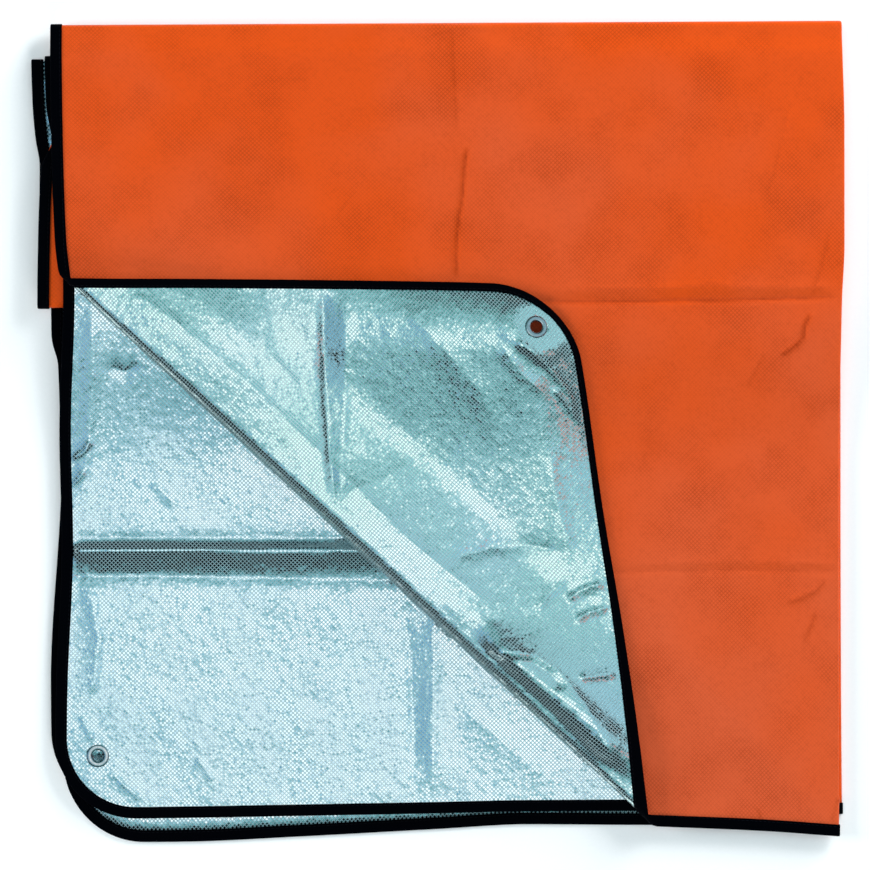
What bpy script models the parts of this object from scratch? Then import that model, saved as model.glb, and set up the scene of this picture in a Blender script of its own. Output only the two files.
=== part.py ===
"""Reinforced emergency foil blanket, folded for storage with one front corner turned up.

The blanket is one rectangular sheet, orange outside and silvered inside, bound round its whole edge
and fitted with an eyelet in each corner. It is folded in half across its width, silver inside, and the
pair of layers is then folded back and forth along its length.

Every piece is first made flat, in the pattern's own sizes: s runs across the width from the half-width
fold (negative on the upper half, positive on the under half), v runs along the length from the front end,
and h is the height over the middle of the sheet's thickness, positive on the orange side. The flat piece
is scored where it bends and is then folded by one function, so all pieces follow the same folds.
"""
import math
from collections import namedtuple

import bmesh
import bpy
from mathutils import Matrix, Vector

MM = 0.001

# The sheet and its binding, flat
HALF_WIDTH = 777 * MM
SHEET = 1.0 * MM
CORNER_RADIUS = 80.5 * MM
CORNER_STEPS = 9
TAPE_WIDTH = 11.5 * MM
TAPE = 0.5 * MM
FIT = 0.3 * MM

# The folds, seen from the side: panels of the pair of layers, from the front end to the back end
FRONT_PANEL = 789.5 * MM
FIRST_PLEAT = 270.0 * MM
SECOND_PLEAT = 236.5 * MM
BACK_PANEL = 755.0 * MM
LAYER_HALF_GAP = 1.6 * MM
BEND_RADIUS = 3.2 * MM
BEND_STEPS, TIP_STEPS = 6, 3
TOP_FOLD_Y = 398.0 * MM
TOP_FOLD_SKEW = 4.3 * MM
LOW_FOLD_Y = 126.3 * MM
BACK_FOLD_Y = 362.7 * MM

# Heights of the middle of each pair of layers
BACK_HEIGHT = 2.9 * MM
PLEAT_RISE = 2 * BEND_RADIUS
FRONT_HEIGHT = BACK_HEIGHT + 3 * PLEAT_RISE
LOW_FRONT_HEIGHT = 10.3 * MM
RAMP_TOP_Y, RAMP_FOOT_Y = 118.0 * MM, -34.0 * MM
DROOP = 5.0 * MM
DROOP_START_Y = 367.0 * MM
SAG = 0.8 * MM
SAG_MARGIN, SAG_RUN = 14.0 * MM, 24.0 * MM
BACK_EYELET = Vector((44.2, 60.8)) * MM

# The turned-up corner: where its roll leaves the two edges, from the corner, and how it lies
TURN_UP_SIDE = 537.0 * MM
TURN_UP_FRONT = 582.0 * MM
ROLL_END_RADIUS, ROLL_MIDDLE_RADIUS = 6.0 * MM, 13.0 * MM
FLAP_EDGE_LIFT = 3.5 * MM
FLAP_DOME, CORNER_DOME = 5.0 * MM, 18.0 * MM
CORNER_DOME_REACH, CORNER_DOME_FADE = 60.0 * MM, 250.0 * MM
DOME_MARGIN, DOME_FLAT_EDGE = 75.0 * MM, 14.0 * MM
SETTLE_RUN = 105.0 * MM
TURNED_MARGIN = 40 * MM

# Eyelets: a barrel with a flange on each face
HOLE_RADIUS = 6.75 * MM
BARREL_WALL = 0.5 * MM
FLANGE_RADIUS = 11.25 * MM
FLANGE = 0.5 * MM
EYELET_STEPS = 24
STIFF_RADIUS, STIFF_RUN = 17.5 * MM, 24.0 * MM
STIFF_SQUARE = 12.0 * MM
STIFF_REACH = 2 * STIFF_RADIUS
CUTTER_DEPTH = 3.0 * MM
FACET_CLEARANCE = 0.05 * MM

FLAT_LENGTH = FRONT_PANEL + FIRST_PLEAT + SECOND_PLEAT + BACK_PANEL + 3 * math.pi * BEND_RADIUS
TIP = LAYER_HALF_GAP + SHEET / 2
TAPE_EDGE = FIT + TAPE
TIP_ARC = math.pi * LAYER_HALF_GAP / 2

# Outer x of the half-width fold and of the bound side edges, against the length v
Side = namedtuple("Side", "v fold upper under")
SIDES = [Side(*(value * MM for value in row)) for row in (
    # v      fold   upper   under
    (0,     394.2, -332.0, -376.0),
    (120,   394.2, -343.5, -375.0),
    (275,   394.2, -355.0, -369.2),
    (385,   394.5, -362.0, -371.4),
    (520,   396.5, -370.0, -367.3),
    (575,   399.0, -375.5, -367.5),
    (690,   398.9, -379.0, -369.5),
    (790,   396.5, -380.0, -370.2),
    (905,   396.0, -374.0, -376.0),
    (936,   396.0, -374.0, -388.8),
    (1000,  396.0, -374.5, -391.8),
    (1075,  396.0, -375.5, -392.7),
    (1215,  396.0, -377.5, -390.8),
    (1240,  396.0, -379.0, -394.7),
    (1275,  396.0, -384.5, -397.8),
    (1320,  396.0, -385.9, -399.1),
    (1400,  396.0, -384.5, -386.0),
    (1560,  396.0, -380.0, -366.5),
    (1592,  396.0, -379.5, -366.5),
    (1620,  396.0, -373.0, -366.8),
    (1760,  396.0, -369.5, -370.0),
    (1950,  396.5, -368.2, -380.0),
    (2080,  397.4, -368.2, -378.0),
)]

# y of the four bound end edges, against the share u of the way from the fold to the side edge
End = namedtuple("End", "u front_upper front_under back_under back_upper")
ENDS = [End(row[0], *(value * MM for value in row[1:])) for row in (
    # u     front upper  front under  back under  back upper
    (0.00, -397.2,      -397.2,      -375.8,     -375.8),
    (0.10, -392.0,      -386.0,      -372.0,     -382.0),
    (0.25, -387.5,      -372.5,      -368.0,     -386.5),
    (0.40, -384.0,      -373.0,      -368.0,     -385.8),
    (0.52, -379.3,      -375.0,      -369.0,     -390.5),
    (0.70, -369.0,      -377.5,      -371.0,     -398.0),
    (0.85, -362.5,      -379.5,      -373.0,     -403.0),
    (1.00, -353.0,      -380.7,      -375.0,     -403.6),
)]

# Soft creases left by storage: a line in the flat sheet, raised towards the orange face
Crease = namedtuple("Crease", "half s0 v0 s1 v1 rise half_width")
CREASES = [Crease(row[0], *(value * MM for value in row[1:])) for row in (
    # half   s0    v0    s1    v1   rise  half width
    ("upper", -16, 525, -292, 525,  1.0,  6),
    ("upper", -10, 262, -215, 262,  0.6,  6),
    ("upper", -378, 480, -378, 780, 0.8,  6),
    ("upper", -600, 262, -740, 262, 0.7, 11),
    ("under", 390, 262, 755, 262,  -1.2,  6),
    ("under", 403, 15,  403, 215,  -0.8,  6),
)]
CREASE_FADE = 20 * MM

# The pinched ridge that leaves the roll and runs down the flap, where it lies
PINCH_FROM = Vector((36.5, -219.0)) * MM
PINCH_TO = Vector((188.0, -341.0)) * MM
PINCH_RISE, PINCH_HALF_WIDTH = 4.5 * MM, 17.0 * MM
PINCH_OVERRUN, PINCH_FADE = 0.25, 0.4

# Eyelet centres where they lie, and the corner that each belongs to: signs of s and of v
Eyelet = namedtuple("Eyelet", "name x y half back")
EYELETS = [
    Eyelet("eyelet_front_top", 96.3 * MM, 102.4 * MM, -1, False),
    Eyelet("eyelet_front_under", -333.7 * MM, -318.5 * MM, 1, False),
    Eyelet("eyelet_back_upper", -333.7 * MM, -318.5 * MM, 1, True),
    Eyelet("eyelet_back_lower", -323.9 * MM, -341.0 * MM, -1, True),
]
EYELET_GUESS = 45.0 * MM
FIND_STEP, FIND_ROUNDS = 0.1 * MM, 12

# Small steps that slopes are measured over
SLOPE_STEP = 0.01 * MM
NORMAL_STEP = 0.002 * MM
PATCH_STEP = 0.5 * MM

# Lines along which the flat pieces are scored
SIDE_LINES = [distance * MM for distance in (80, 190, 300, 378, 480, 580, 680)]
COARSE_SIDE_LINES = [distance * MM for distance in (190, 378, 580)]
FRONT_LINES = [distance * MM for distance in (
    75, 150, 262, 358, 384, 410, 436, 462, 488, 511, 600, 690)]
CREASE_LINES = (-6.0 * MM, 0.0, 6.0 * MM)
DROOP_LINES = [distance * MM for distance in (0, 10, 20, 31)]
BACK_LINES = [distance * MM for distance in (110, 230, 350, 470, 590, 690)]
ROLL_LINES = [distance * MM for distance in (
    -7, -4, -1.5, 1, 3.5, 6, 8.5, 11.5, 15, 19, 23, 27, 31, 35.5, 48, 62, 76, 92, 115, 145)]
ROLL_LINES_CLOSE = 35.5 * MM
FLAP_LINES = [distance * MM for distance in (25, 50, 76, 102, 128, 155, 185)]
CORNER_LINES = FLAP_LINES + [distance * MM for distance in (38, 62, 89, 215, 250)]
CORNER_REACH = 260.0 * MM
TAPE_MIDDLE = 6.0 * MM
ROLL_TAPE_REACH = 3 * DOME_FLAT_EDGE
SAG_LINES = [SAG_MARGIN + SAG_RUN * share for share in (0, 0.5, 1)]
SEAM_CLEARANCE = 0.01 * MM

ORANGE = (0.74, 0.105, 0.028, 1.0)
BLACK = (0.006, 0.005, 0.008, 1.0)
STEEL = (0.42, 0.43, 0.44, 1.0)


def smooth(share):
    """A soft step from 0 to 1."""
    share = min(max(share, 0.0), 1.0)
    return share * share * (3 - 2 * share)


def middle_slope(slope_before, slope_after):
    """The slope at a table's row: none at a turning point, so that the curve never overshoots."""
    if slope_before * slope_after <= 0:
        return 0.0
    return 2 * slope_before * slope_after / (slope_before + slope_after)


def read_table(table, column, at):
    """A smooth curve through one column of a table, straight beyond its ends."""
    last = len(table) - 2
    low = 0
    while low < last and table[low + 1][0] < at:
        low += 1

    def slope(index):
        index = min(max(index, 0), last)
        rise = getattr(table[index + 1], column) - getattr(table[index], column)
        return rise / (table[index + 1][0] - table[index][0])

    run = table[low + 1][0] - table[low][0]
    start, end = getattr(table[low], column), getattr(table[low + 1], column)
    start_slope = middle_slope(slope(low - 1), slope(low))
    end_slope = middle_slope(slope(low), slope(low + 1))
    share = (at - table[low][0]) / run
    if share < 0:
        return start + start_slope * run * share
    if share > 1:
        return end + end_slope * run * (share - 1)
    return (
        start * (1 + 2 * share) * (1 - share) ** 2
        + end * share * share * (3 - 2 * share)
        + run * share * (1 - share) * (start_slope * (1 - share) - end_slope * share)
    )


def front_height(y):
    """Height of the front pair: high over the pleats, drooping past them, lower in front of them."""
    ramp = smooth((y - RAMP_FOOT_Y) / (RAMP_TOP_Y - RAMP_FOOT_Y))
    return LOW_FRONT_HEIGHT + (FRONT_HEIGHT - LOW_FRONT_HEIGHT) * ramp - droop(y)


def droop(y):
    """How far the two upper pairs hang down past the lower pairs' own fold."""
    return DROOP * smooth((y - DROOP_START_Y) / (TOP_FOLD_Y - TOP_FOLD_SKEW - DROOP_START_Y))


def panel_frame(y, height, heading):
    """A point of a panel's middle and its normal in the (y, z) plane. height is a function of y."""
    slope = (height(y + SLOPE_STEP) - height(y - SLOPE_STEP)) / (2 * SLOPE_STEP)
    size = math.hypot(1, slope)
    return y, height(y), -heading * slope / size, heading / size


def bend_frame(centre_y, centre_z, turned, outwards):
    """The same on a bend: the angle turned so far, and 1 where the upper half is outside, else -1."""
    angle = -turned if outwards > 0 else turned - math.pi
    normal_y, normal_z = -math.sin(angle), math.cos(angle)
    reach = BEND_RADIUS * outwards
    return centre_y + reach * normal_y, centre_z + reach * normal_z, normal_y, normal_z


def pair_path(v, u, upper):
    """Middle of the folded pair in the (y, z) plane at length v, and the way its upper half faces."""
    bend = math.pi * BEND_RADIUS
    top_y = TOP_FOLD_Y - TOP_FOLD_SKEW * u
    if v < FRONT_PANEL:
        end_y = read_table(ENDS, "front_upper" if upper else "front_under", u) + TAPE_EDGE
        return panel_frame(top_y - (top_y - end_y) * (1 - v / FRONT_PANEL), front_height, 1)
    v -= FRONT_PANEL
    if v < bend:
        centre_z = FRONT_HEIGHT - BEND_RADIUS - droop(top_y)
        return bend_frame(top_y, centre_z, v / BEND_RADIUS, 1)
    v -= bend
    if v < FIRST_PLEAT:
        y = top_y + (LOW_FOLD_Y - top_y) * v / FIRST_PLEAT
        return panel_frame(y, lambda at: BACK_HEIGHT + 2 * PLEAT_RISE - droop(at), -1)
    v -= FIRST_PLEAT
    if v < bend:
        return bend_frame(LOW_FOLD_Y, BACK_HEIGHT + 1.5 * PLEAT_RISE, v / BEND_RADIUS, -1)
    v -= bend
    if v < SECOND_PLEAT:
        y = LOW_FOLD_Y + (BACK_FOLD_Y - LOW_FOLD_Y) * v / SECOND_PLEAT
        return panel_frame(y, lambda at: BACK_HEIGHT + PLEAT_RISE, 1)
    v -= SECOND_PLEAT
    if v < bend:
        return bend_frame(BACK_FOLD_Y, BACK_HEIGHT + PLEAT_RISE / 2, v / BEND_RADIUS, 1)
    v -= bend
    end_y = read_table(ENDS, "back_upper" if upper else "back_under", u) + TAPE_EDGE
    y = BACK_FOLD_Y + (end_y - BACK_FOLD_Y) * v / BACK_PANEL
    return panel_frame(y, lambda at: BACK_HEIGHT, -1)


def edge_distance(from_side, from_end):
    """Distance in from the sheet's edge near one of its rounded corners."""
    if max(from_side, from_end) < CORNER_RADIUS:
        return CORNER_RADIUS - math.hypot(CORNER_RADIUS - from_side, CORNER_RADIUS - from_end)
    return min(from_side, from_end)


def sag(s, v):
    """How far the lowest layer drops to lie flat, clear of its bound edges, its eyelet and its folds."""
    back_start = FLAT_LENGTH - BACK_PANEL
    if s > 0 or v < back_start:
        return 0.0
    from_side, from_end = s + HALF_WIDTH, FLAT_LENGTH - v
    from_eyelet = max(abs(from_side - BACK_EYELET.x), abs(from_end - BACK_EYELET.y))
    reach = 1.0
    for distance in (edge_distance(from_side, from_end), from_eyelet, -s, v - back_start):
        reach *= smooth((distance - SAG_MARGIN) / SAG_RUN)
    return SAG * reach


def fold_pair(s, v):
    """A point of the sheet's middle, with both folds made and no corner turned up."""
    away = abs(s)
    upper = s < 0
    fold_x = read_table(SIDES, "fold", v) - TIP
    edge_x = read_table(SIDES, "upper" if upper else "under", v) + TAPE_EDGE
    u = max(away - TIP_ARC, 0.0) / (HALF_WIDTH - TIP_ARC)
    y, z, normal_y, normal_z = pair_path(v, u, upper)
    if away < TIP_ARC:
        turn = s / LAYER_HALF_GAP
        x = fold_x + LAYER_HALF_GAP * math.cos(turn)
        offset = -LAYER_HALF_GAP * math.sin(turn)
    else:
        x = fold_x + (edge_x - fold_x) * u
        offset = LAYER_HALF_GAP if upper else -LAYER_HALF_GAP
    return Vector((x, y + offset * normal_y, z + offset * normal_z - sag(s, v)))


def roll_ends():
    """Where the roll leaves the side edge and the front edge, on the surface."""
    side = fold_pair(-HALF_WIDTH, TURN_UP_SIDE).xy
    front = fold_pair(-HALF_WIDTH + TURN_UP_FRONT, 0).xy
    return side, front


ROLL_START, ROLL_END = roll_ends()
ROLL_LENGTH = (ROLL_END - ROLL_START).length
ROLL_ALONG = (ROLL_END - ROLL_START) / ROLL_LENGTH
ROLL_INWARDS = Vector((-ROLL_ALONG.y, ROLL_ALONG.x))


def pinch(spot):
    """Height of the pinched ridge at a place on the flap."""
    run = PINCH_TO - PINCH_FROM
    share = (spot - PINCH_FROM).dot(run) / run.length_squared
    nearest = PINCH_FROM + run * min(max(share, 0.0), 1.0)
    fade = smooth(min(share + PINCH_OVERRUN, 1 + PINCH_OVERRUN - share) / PINCH_FADE)
    return PINCH_RISE * fade * smooth(1 - (spot - nearest).length / PINCH_HALF_WIDTH)


def flap_height(s, v, beyond, radius, spot):
    """Height of the turned-up flap over the layer below, at a distance beyond its roll."""
    from_edge = edge_distance(s + HALF_WIDTH, v)
    under_tape = min(from_edge - DOME_FLAT_EDGE, 0)
    rest = 1 - min(max(from_edge, DOME_FLAT_EDGE) / DOME_MARGIN, 1)
    dome = 1 - rest ** 2 + 2 * rest * under_tape / DOME_MARGIN
    from_corner = math.hypot(s + HALF_WIDTH, v)
    from_dome = smooth((from_corner - CORNER_DOME_REACH) / CORNER_DOME_FADE)
    height = CORNER_DOME + (FLAP_DOME - CORNER_DOME) * from_dome
    lying = FLAP_EDGE_LIFT + height * dome
    settled = smooth(beyond / SETTLE_RUN)
    return 2 * radius + (lying - 2 * radius) * settled + pinch(spot)


def turn_up(s, v, point):
    """The front corner of the upper half rolled back over itself."""
    from_start = point.xy - ROLL_START
    along, inwards = from_start.dot(ROLL_ALONG), from_start.dot(ROLL_INWARDS)
    middle = math.sin(math.pi * min(max(along / ROLL_LENGTH, 0), 1))
    radius = ROLL_END_RADIUS + (ROLL_MIDDLE_RADIUS - ROLL_END_RADIUS) * middle
    wound = radius - inwards
    if wound <= 0:
        return point
    if wound < math.pi * radius:
        new_inwards = radius - radius * math.sin(wound / radius)
        lift = radius - radius * math.cos(wound / radius)
    else:
        beyond = wound - math.pi * radius
        new_inwards = radius + beyond
    spot = ROLL_START + ROLL_ALONG * along + ROLL_INWARDS * new_inwards
    if wound >= math.pi * radius:
        lift = flap_height(s, v, beyond, radius, spot)
    y, z, normal_y, normal_z = panel_frame(spot.y, front_height, 1)
    return Vector((spot.x, y + LAYER_HALF_GAP * normal_y, z + LAYER_HALF_GAP * normal_z + lift))


def place(s, v):
    """A point of the sheet's middle, fully folded."""
    point = fold_pair(s, v)
    if s < 0 and v < FRONT_PANEL:
        return turn_up(s, v, point)
    return point


def crease_rise(s, v):
    """Height of the storage creases at a point of the flat sheet."""
    if v > FRONT_PANEL:
        return 0.0
    total = 0.0
    for crease in CREASES:
        if (s < 0) != (crease.half == "upper"):
            continue
        start, end = Vector((crease.s0, crease.v0)), Vector((crease.s1, crease.v1))
        run = end - start
        share = (Vector((s, v)) - start).dot(run) / run.length_squared
        offset = (Vector((s, v)) - start - run * share).length
        ends = smooth(min(share, 1 - share) * run.length / CREASE_FADE)
        total += crease.rise * ends * smooth(1 - offset / crease.half_width)
    return total


def outward_normal(s, v, spot=place):
    """The sheet's normal on its orange face."""
    across = spot(s + NORMAL_STEP, v) - spot(s - NORMAL_STEP, v)
    along = spot(s, v + NORMAL_STEP) - spot(s, v - NORMAL_STEP)
    return across.cross(along).normalized()


def find_flat(eyelet):
    """The flat place of an eyelet that lies at a known x and y."""
    s = eyelet.half * (HALF_WIDTH - EYELET_GUESS)
    v = FLAT_LENGTH - EYELET_GUESS if eyelet.back else EYELET_GUESS
    for _ in range(FIND_ROUNDS):
        here = place(s, v).xy
        miss = Vector((eyelet.x, eyelet.y)) - here
        across = (place(s + FIND_STEP, v).xy - here) / FIND_STEP
        along = (place(s, v + FIND_STEP).xy - here) / FIND_STEP
        size = across.x * along.y - across.y * along.x
        s += (miss.x * along.y - miss.y * along.x) / size
        v += (across.x * miss.y - across.y * miss.x) / size
    return s, v


def stiff_patch(centre):
    """The flat plane in which an eyelet holds the cloth round it: a point and two directions."""
    s, v = centre
    across = (place(s + PATCH_STEP, v) - place(s - PATCH_STEP, v)) / (2 * PATCH_STEP)
    along = (place(s, v + PATCH_STEP) - place(s, v - PATCH_STEP)) / (2 * PATCH_STEP)
    return s, v, place(s, v), across, along


EYELET_SPOTS = {eyelet.name: find_flat(eyelet) for eyelet in EYELETS}
PATCHES = [stiff_patch(spot) for spot in EYELET_SPOTS.values()]


def cloth_place(s, v):
    """A point of the sheet's middle, folded and held flat round the eyelets."""
    point = place(s, v)
    for centre_s, centre_v, centre, across, along in PATCHES:
        reach = math.hypot(s - centre_s, v - centre_v)
        if reach < STIFF_RADIUS + STIFF_RUN:
            flat_point = centre + across * (s - centre_s) + along * (v - centre_v)
            point = point.lerp(flat_point, 1 - smooth((reach - STIFF_RADIUS) / STIFF_RUN))
    return point


def fold_mesh(flat):
    """Moves every vertex of a scored flat mesh to its folded place."""
    for vertex in flat.verts:
        s, v, h = vertex.co
        height = h + crease_rise(s, v)
        vertex.co = cloth_place(s, v) + outward_normal(s, v, cloth_place) * height


def outline(inset):
    """Points round the rectangle with rounded corners, a distance in from the sheet's edge."""
    points = []
    radius = CORNER_RADIUS - inset
    corners = ((1, 1), (-1, 1), (-1, -1), (1, -1))
    for quarter, (side, end) in enumerate(corners):
        centre_s = side * (HALF_WIDTH - CORNER_RADIUS)
        centre_v = FLAT_LENGTH / 2 + end * (FLAT_LENGTH / 2 - CORNER_RADIUS)
        for step in range(CORNER_STEPS + 1):
            angle = math.radians(90 * (quarter + step / CORNER_STEPS))
            points.append((centre_s + radius * math.cos(angle), centre_v + radius * math.sin(angle)))
    return points


def flat_sheet():
    """The sheet as a flat slab, with the inner edge of the binding marked on it."""
    flat = bmesh.new()
    edge = [flat.verts.new((s, v, -SHEET / 2)) for s, v in outline(0)]
    mark = [flat.verts.new((s, v, -SHEET / 2)) for s, v in outline(TAPE_WIDTH - TAPE_EDGE)]
    faces = [flat.faces.new(mark)]
    for step in range(len(edge)):
        after = (step + 1) % len(edge)
        faces.append(flat.faces.new((edge[step], edge[after], mark[after], mark[step])))
    raised = bmesh.ops.extrude_face_region(flat, geom=faces)["geom"]
    top = [item for item in raised if isinstance(item, bmesh.types.BMVert)]
    bmesh.ops.translate(flat, vec=(0, 0, SHEET), verts=top)
    bmesh.ops.recalc_face_normals(flat, faces=flat.faces)
    return flat


def flat_binding():
    """The binding tape as a flat loop, folded over the sheet's edge into a channel."""
    slot = SHEET / 2 + FIT
    outside = slot + TAPE
    reach = TAPE_WIDTH - TAPE_EDGE
    profile = [  # distance in from the sheet's edge, height
        (reach, slot), (-FIT, slot), (-FIT, -slot), (reach, -slot),
        (reach, -outside), (-TAPE_EDGE, -outside), (-TAPE_EDGE, outside), (reach, outside),
    ]
    flat = bmesh.new()
    rings = []
    for inset, height in profile:
        rings.append([flat.verts.new((s, v, height)) for s, v in outline(inset)])
    for index, ring in enumerate(rings):
        following = rings[(index + 1) % len(rings)]
        for step in range(len(ring)):
            after = (step + 1) % len(ring)
            flat.faces.new((ring[step], ring[after], following[after], following[step]))
    bmesh.ops.recalc_face_normals(flat, faces=flat.faces)
    return flat


def score(flat, point, normal, keep=lambda s, v: True):
    """Cuts the faces of one region along a straight line in the flat."""
    faces = [face for face in flat.faces if keep(*face.calc_center_median().xy)]
    geometry = set(faces)
    for face in faces:
        geometry.update(face.edges)
        geometry.update(face.verts)
    bmesh.ops.bisect_plane(
        flat, geom=list(geometry), dist=SEAM_CLEARANCE,
        plane_co=(point[0], point[1], 0), plane_no=(normal[0], normal[1], 0),
    )


def turned_region(s, v):
    """The upper half's front panel, where the corner is turned up."""
    return s < -TIP_ARC and v < TURN_UP_SIDE + TURNED_MARGIN


def past_roll(s, v):
    """How far a point of the flat sheet lies past the start of the roll, towards the corner."""
    towards_corner = Vector((-TURN_UP_SIDE, -TURN_UP_FRONT)).normalized()
    return (Vector((s, v)) - Vector((-HALF_WIDTH, TURN_UP_SIDE))).dot(towards_corner)


def flap_region(s, v):
    """The turned-up flap, past its roll and the corner's own lines."""
    return s < 0 and v < TURN_UP_SIDE and past_roll(s, v) > ROLL_LINES_CLOSE and not corner_region(s, v)


def score_crease(flat, crease):
    """Scores the middle and both feet of one storage crease."""
    along_v = crease.s0 == crease.s1
    low, high = (crease.v0, crease.v1) if along_v else sorted((crease.s0, crease.s1))

    def region(s, v):
        on_half = (s < 0) == (crease.half == "upper")
        return on_half and v < FRONT_PANEL and low < (v if along_v else s) < high

    for side in CREASE_LINES:
        place_on = (crease.s0 + side, 0) if along_v else (0, crease.v0 + side)
        score(flat, place_on, (1, 0) if along_v else (0, 1), region)


def corner_region(s, v):
    """The part of the turned-up corner that bends down to its bound edge."""
    return s < 0 and math.hypot(s + HALF_WIDTH, v) < CORNER_REACH


def roll_tape_region(s, v):
    """The two places where the bound edge goes round the roll."""
    from_side = s + HALF_WIDTH
    by_side = from_side < DOME_FLAT_EDGE and abs(v - TURN_UP_SIDE) < ROLL_TAPE_REACH
    by_front = v < DOME_FLAT_EDGE and abs(from_side - TURN_UP_FRONT) < ROLL_TAPE_REACH
    return s < 0 and (by_side or by_front)


def front_region(s, v):
    """The front panel of both halves."""
    return v < FRONT_PANEL


def lowest_region(s, v):
    """The upper half's back panel, which lies lowest in the pile."""
    return s < 0 and v > FLAT_LENGTH - BACK_PANEL


def back_eyelet_region(s, v):
    """The lowest layer round its own eyelet."""
    away = max(abs(s + HALF_WIDTH - BACK_EYELET.x), abs(FLAT_LENGTH - v - BACK_EYELET.y))
    return s < 0 and away < SAG_LINES[-1]


def score_eyelet(flat, centre_s, centre_v):
    """Scores a square round one eyelet."""
    def region(s, v):
        return max(abs(s - centre_s), abs(v - centre_v)) < STIFF_REACH

    for side in (-1, 1):
        score(flat, (centre_s + side * STIFF_SQUARE, 0), (1, 0), region)
        score(flat, (0, centre_v + side * STIFF_SQUARE), (0, 1), region)


def score_folds(flat):
    """Scores a flat piece wherever it bends."""
    bend = math.pi * BEND_RADIUS
    first_end = FRONT_PANEL + bend + FIRST_PLEAT
    second_end = first_end + bend + SECOND_PLEAT
    for start in (FRONT_PANEL, first_end, second_end):
        for step in range(BEND_STEPS + 1):
            score(flat, (0, start + bend * step / BEND_STEPS), (0, 1))
    for step in range(-TIP_STEPS, TIP_STEPS + 1):
        score(flat, (TIP_ARC * step / TIP_STEPS, 0), (1, 0))
    for line in DROOP_LINES:
        score(flat, (0, FRONT_PANEL - line), (0, 1))
        score(flat, (0, FRONT_PANEL + bend + line), (0, 1))
    for line in BACK_LINES:
        score(flat, (0, FLAT_LENGTH - BACK_PANEL + line), (0, 1))
    for start in (FRONT_PANEL + bend, first_end + bend):
        score(flat, (0, start + FIRST_PLEAT / 2), (0, 1))
    for line in FRONT_LINES:
        score(flat, (0, line), (0, 1))
    for line in COARSE_SIDE_LINES:
        for half in (-1, 1):
            score(flat, (half * line, 0), (1, 0))
    for line in SIDE_LINES:
        for half in (-1, 1):
            score(flat, (half * line, 0), (1, 0), front_region)
    for line in SAG_LINES:
        score(flat, (-HALF_WIDTH + line, 0), (1, 0), lowest_region)
        score(flat, (-line, 0), (1, 0), lowest_region)
        score(flat, (0, FLAT_LENGTH - line), (0, 1), lowest_region)
        score(flat, (0, FLAT_LENGTH - BACK_PANEL + line), (0, 1), lowest_region)
    along = Vector((TURN_UP_FRONT, -TURN_UP_SIDE)).normalized()
    towards_corner = Vector((along.y, -along.x))
    start = Vector((-HALF_WIDTH, TURN_UP_SIDE))
    for line in ROLL_LINES:
        score(flat, start + towards_corner * line, towards_corner, turned_region)
    for line in CORNER_LINES:
        score(flat, (-HALF_WIDTH + line, 0), (1, 0), corner_region)
        score(flat, (0, line), (0, 1), corner_region)
    for line in FLAP_LINES:
        score(flat, (-HALF_WIDTH + line, 0), (1, 0), flap_region)
    for crease in CREASES:
        score_crease(flat, crease)
    score(flat, (-HALF_WIDTH + TAPE_MIDDLE, 0), (1, 0), roll_tape_region)
    score(flat, (0, TAPE_MIDDLE), (0, 1), roll_tape_region)
    for line in SAG_LINES:
        for way in (-1, 1):
            side, end = BACK_EYELET + Vector((way, way)) * line
            score(flat, (-HALF_WIDTH + side, 0), (1, 0), back_eyelet_region)
            score(flat, (0, FLAT_LENGTH - end), (0, 1), back_eyelet_region)
    for spot in EYELET_SPOTS.values():
        score_eyelet(flat, *spot)
    bmesh.ops.remove_doubles(flat, verts=flat.verts, dist=SEAM_CLEARANCE)
    bmesh.ops.dissolve_degenerate(flat, edges=flat.edges, dist=SEAM_CLEARANCE)
    bmesh.ops.triangulate(flat, faces=flat.faces, quad_method="SHORT_EDGE", ngon_method="BEAUTY")


def make_material(name, colour, roughness, metallic):
    """A plain Principled material."""
    material = bpy.data.materials.new(name)
    material.use_nodes = True
    shader = material.node_tree.nodes["Principled BSDF"]
    shader.inputs["Base Color"].default_value = colour
    shader.inputs["Roughness"].default_value = roughness
    shader.inputs["Metallic"].default_value = metallic
    return material


def make_folded(name, flat, collection, material):
    """Scores, folds and keeps a flat piece as an object."""
    score_folds(flat)
    fold_mesh(flat)
    mesh = bpy.data.meshes.new(name)
    flat.to_mesh(mesh)
    flat.free()
    mesh.materials.append(material)
    piece = bpy.data.objects.new(name, mesh)
    collection.objects.link(piece)
    return piece


def eyelet_matrix(spot):
    """An eyelet's place: its centre in the sheet's middle, its axis along the sheet's normal."""
    normal = outward_normal(*spot)
    return Matrix.Translation(place(*spot)) @ normal.to_track_quat("Z", "X").to_matrix().to_4x4()


def eyelet_profile():
    """Half of an eyelet's section, down its outer side."""
    slot = SHEET / 2 + FIT
    outside = slot + FLANGE
    barrel = HOLE_RADIUS + BARREL_WALL
    return [
        (HOLE_RADIUS, outside), (FLANGE_RADIUS, outside), (FLANGE_RADIUS, slot), (barrel, slot),
        (barrel, -slot), (FLANGE_RADIUS, -slot), (FLANGE_RADIUS, -outside), (HOLE_RADIUS, -outside),
    ]


def make_eyelet(name, spot, collection, material):
    """A turned eyelet: its section spun round its axis."""
    profile = bmesh.new()
    points = [profile.verts.new((radius, 0, height)) for radius, height in eyelet_profile()]
    for first, second in zip(points, points[1:] + points[:1]):
        profile.edges.new((first, second))
    mesh = bpy.data.meshes.new(name)
    profile.to_mesh(mesh)
    profile.free()
    mesh.materials.append(material)
    piece = bpy.data.objects.new(name, mesh)
    collection.objects.link(piece)
    spin = piece.modifiers.new("Turned", "SCREW")
    spin.steps = spin.render_steps = EYELET_STEPS
    spin.use_merge_vertices = True
    spin.merge_threshold = SEAM_CLEARANCE
    piece.matrix_world = eyelet_matrix(spot)
    return piece


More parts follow.
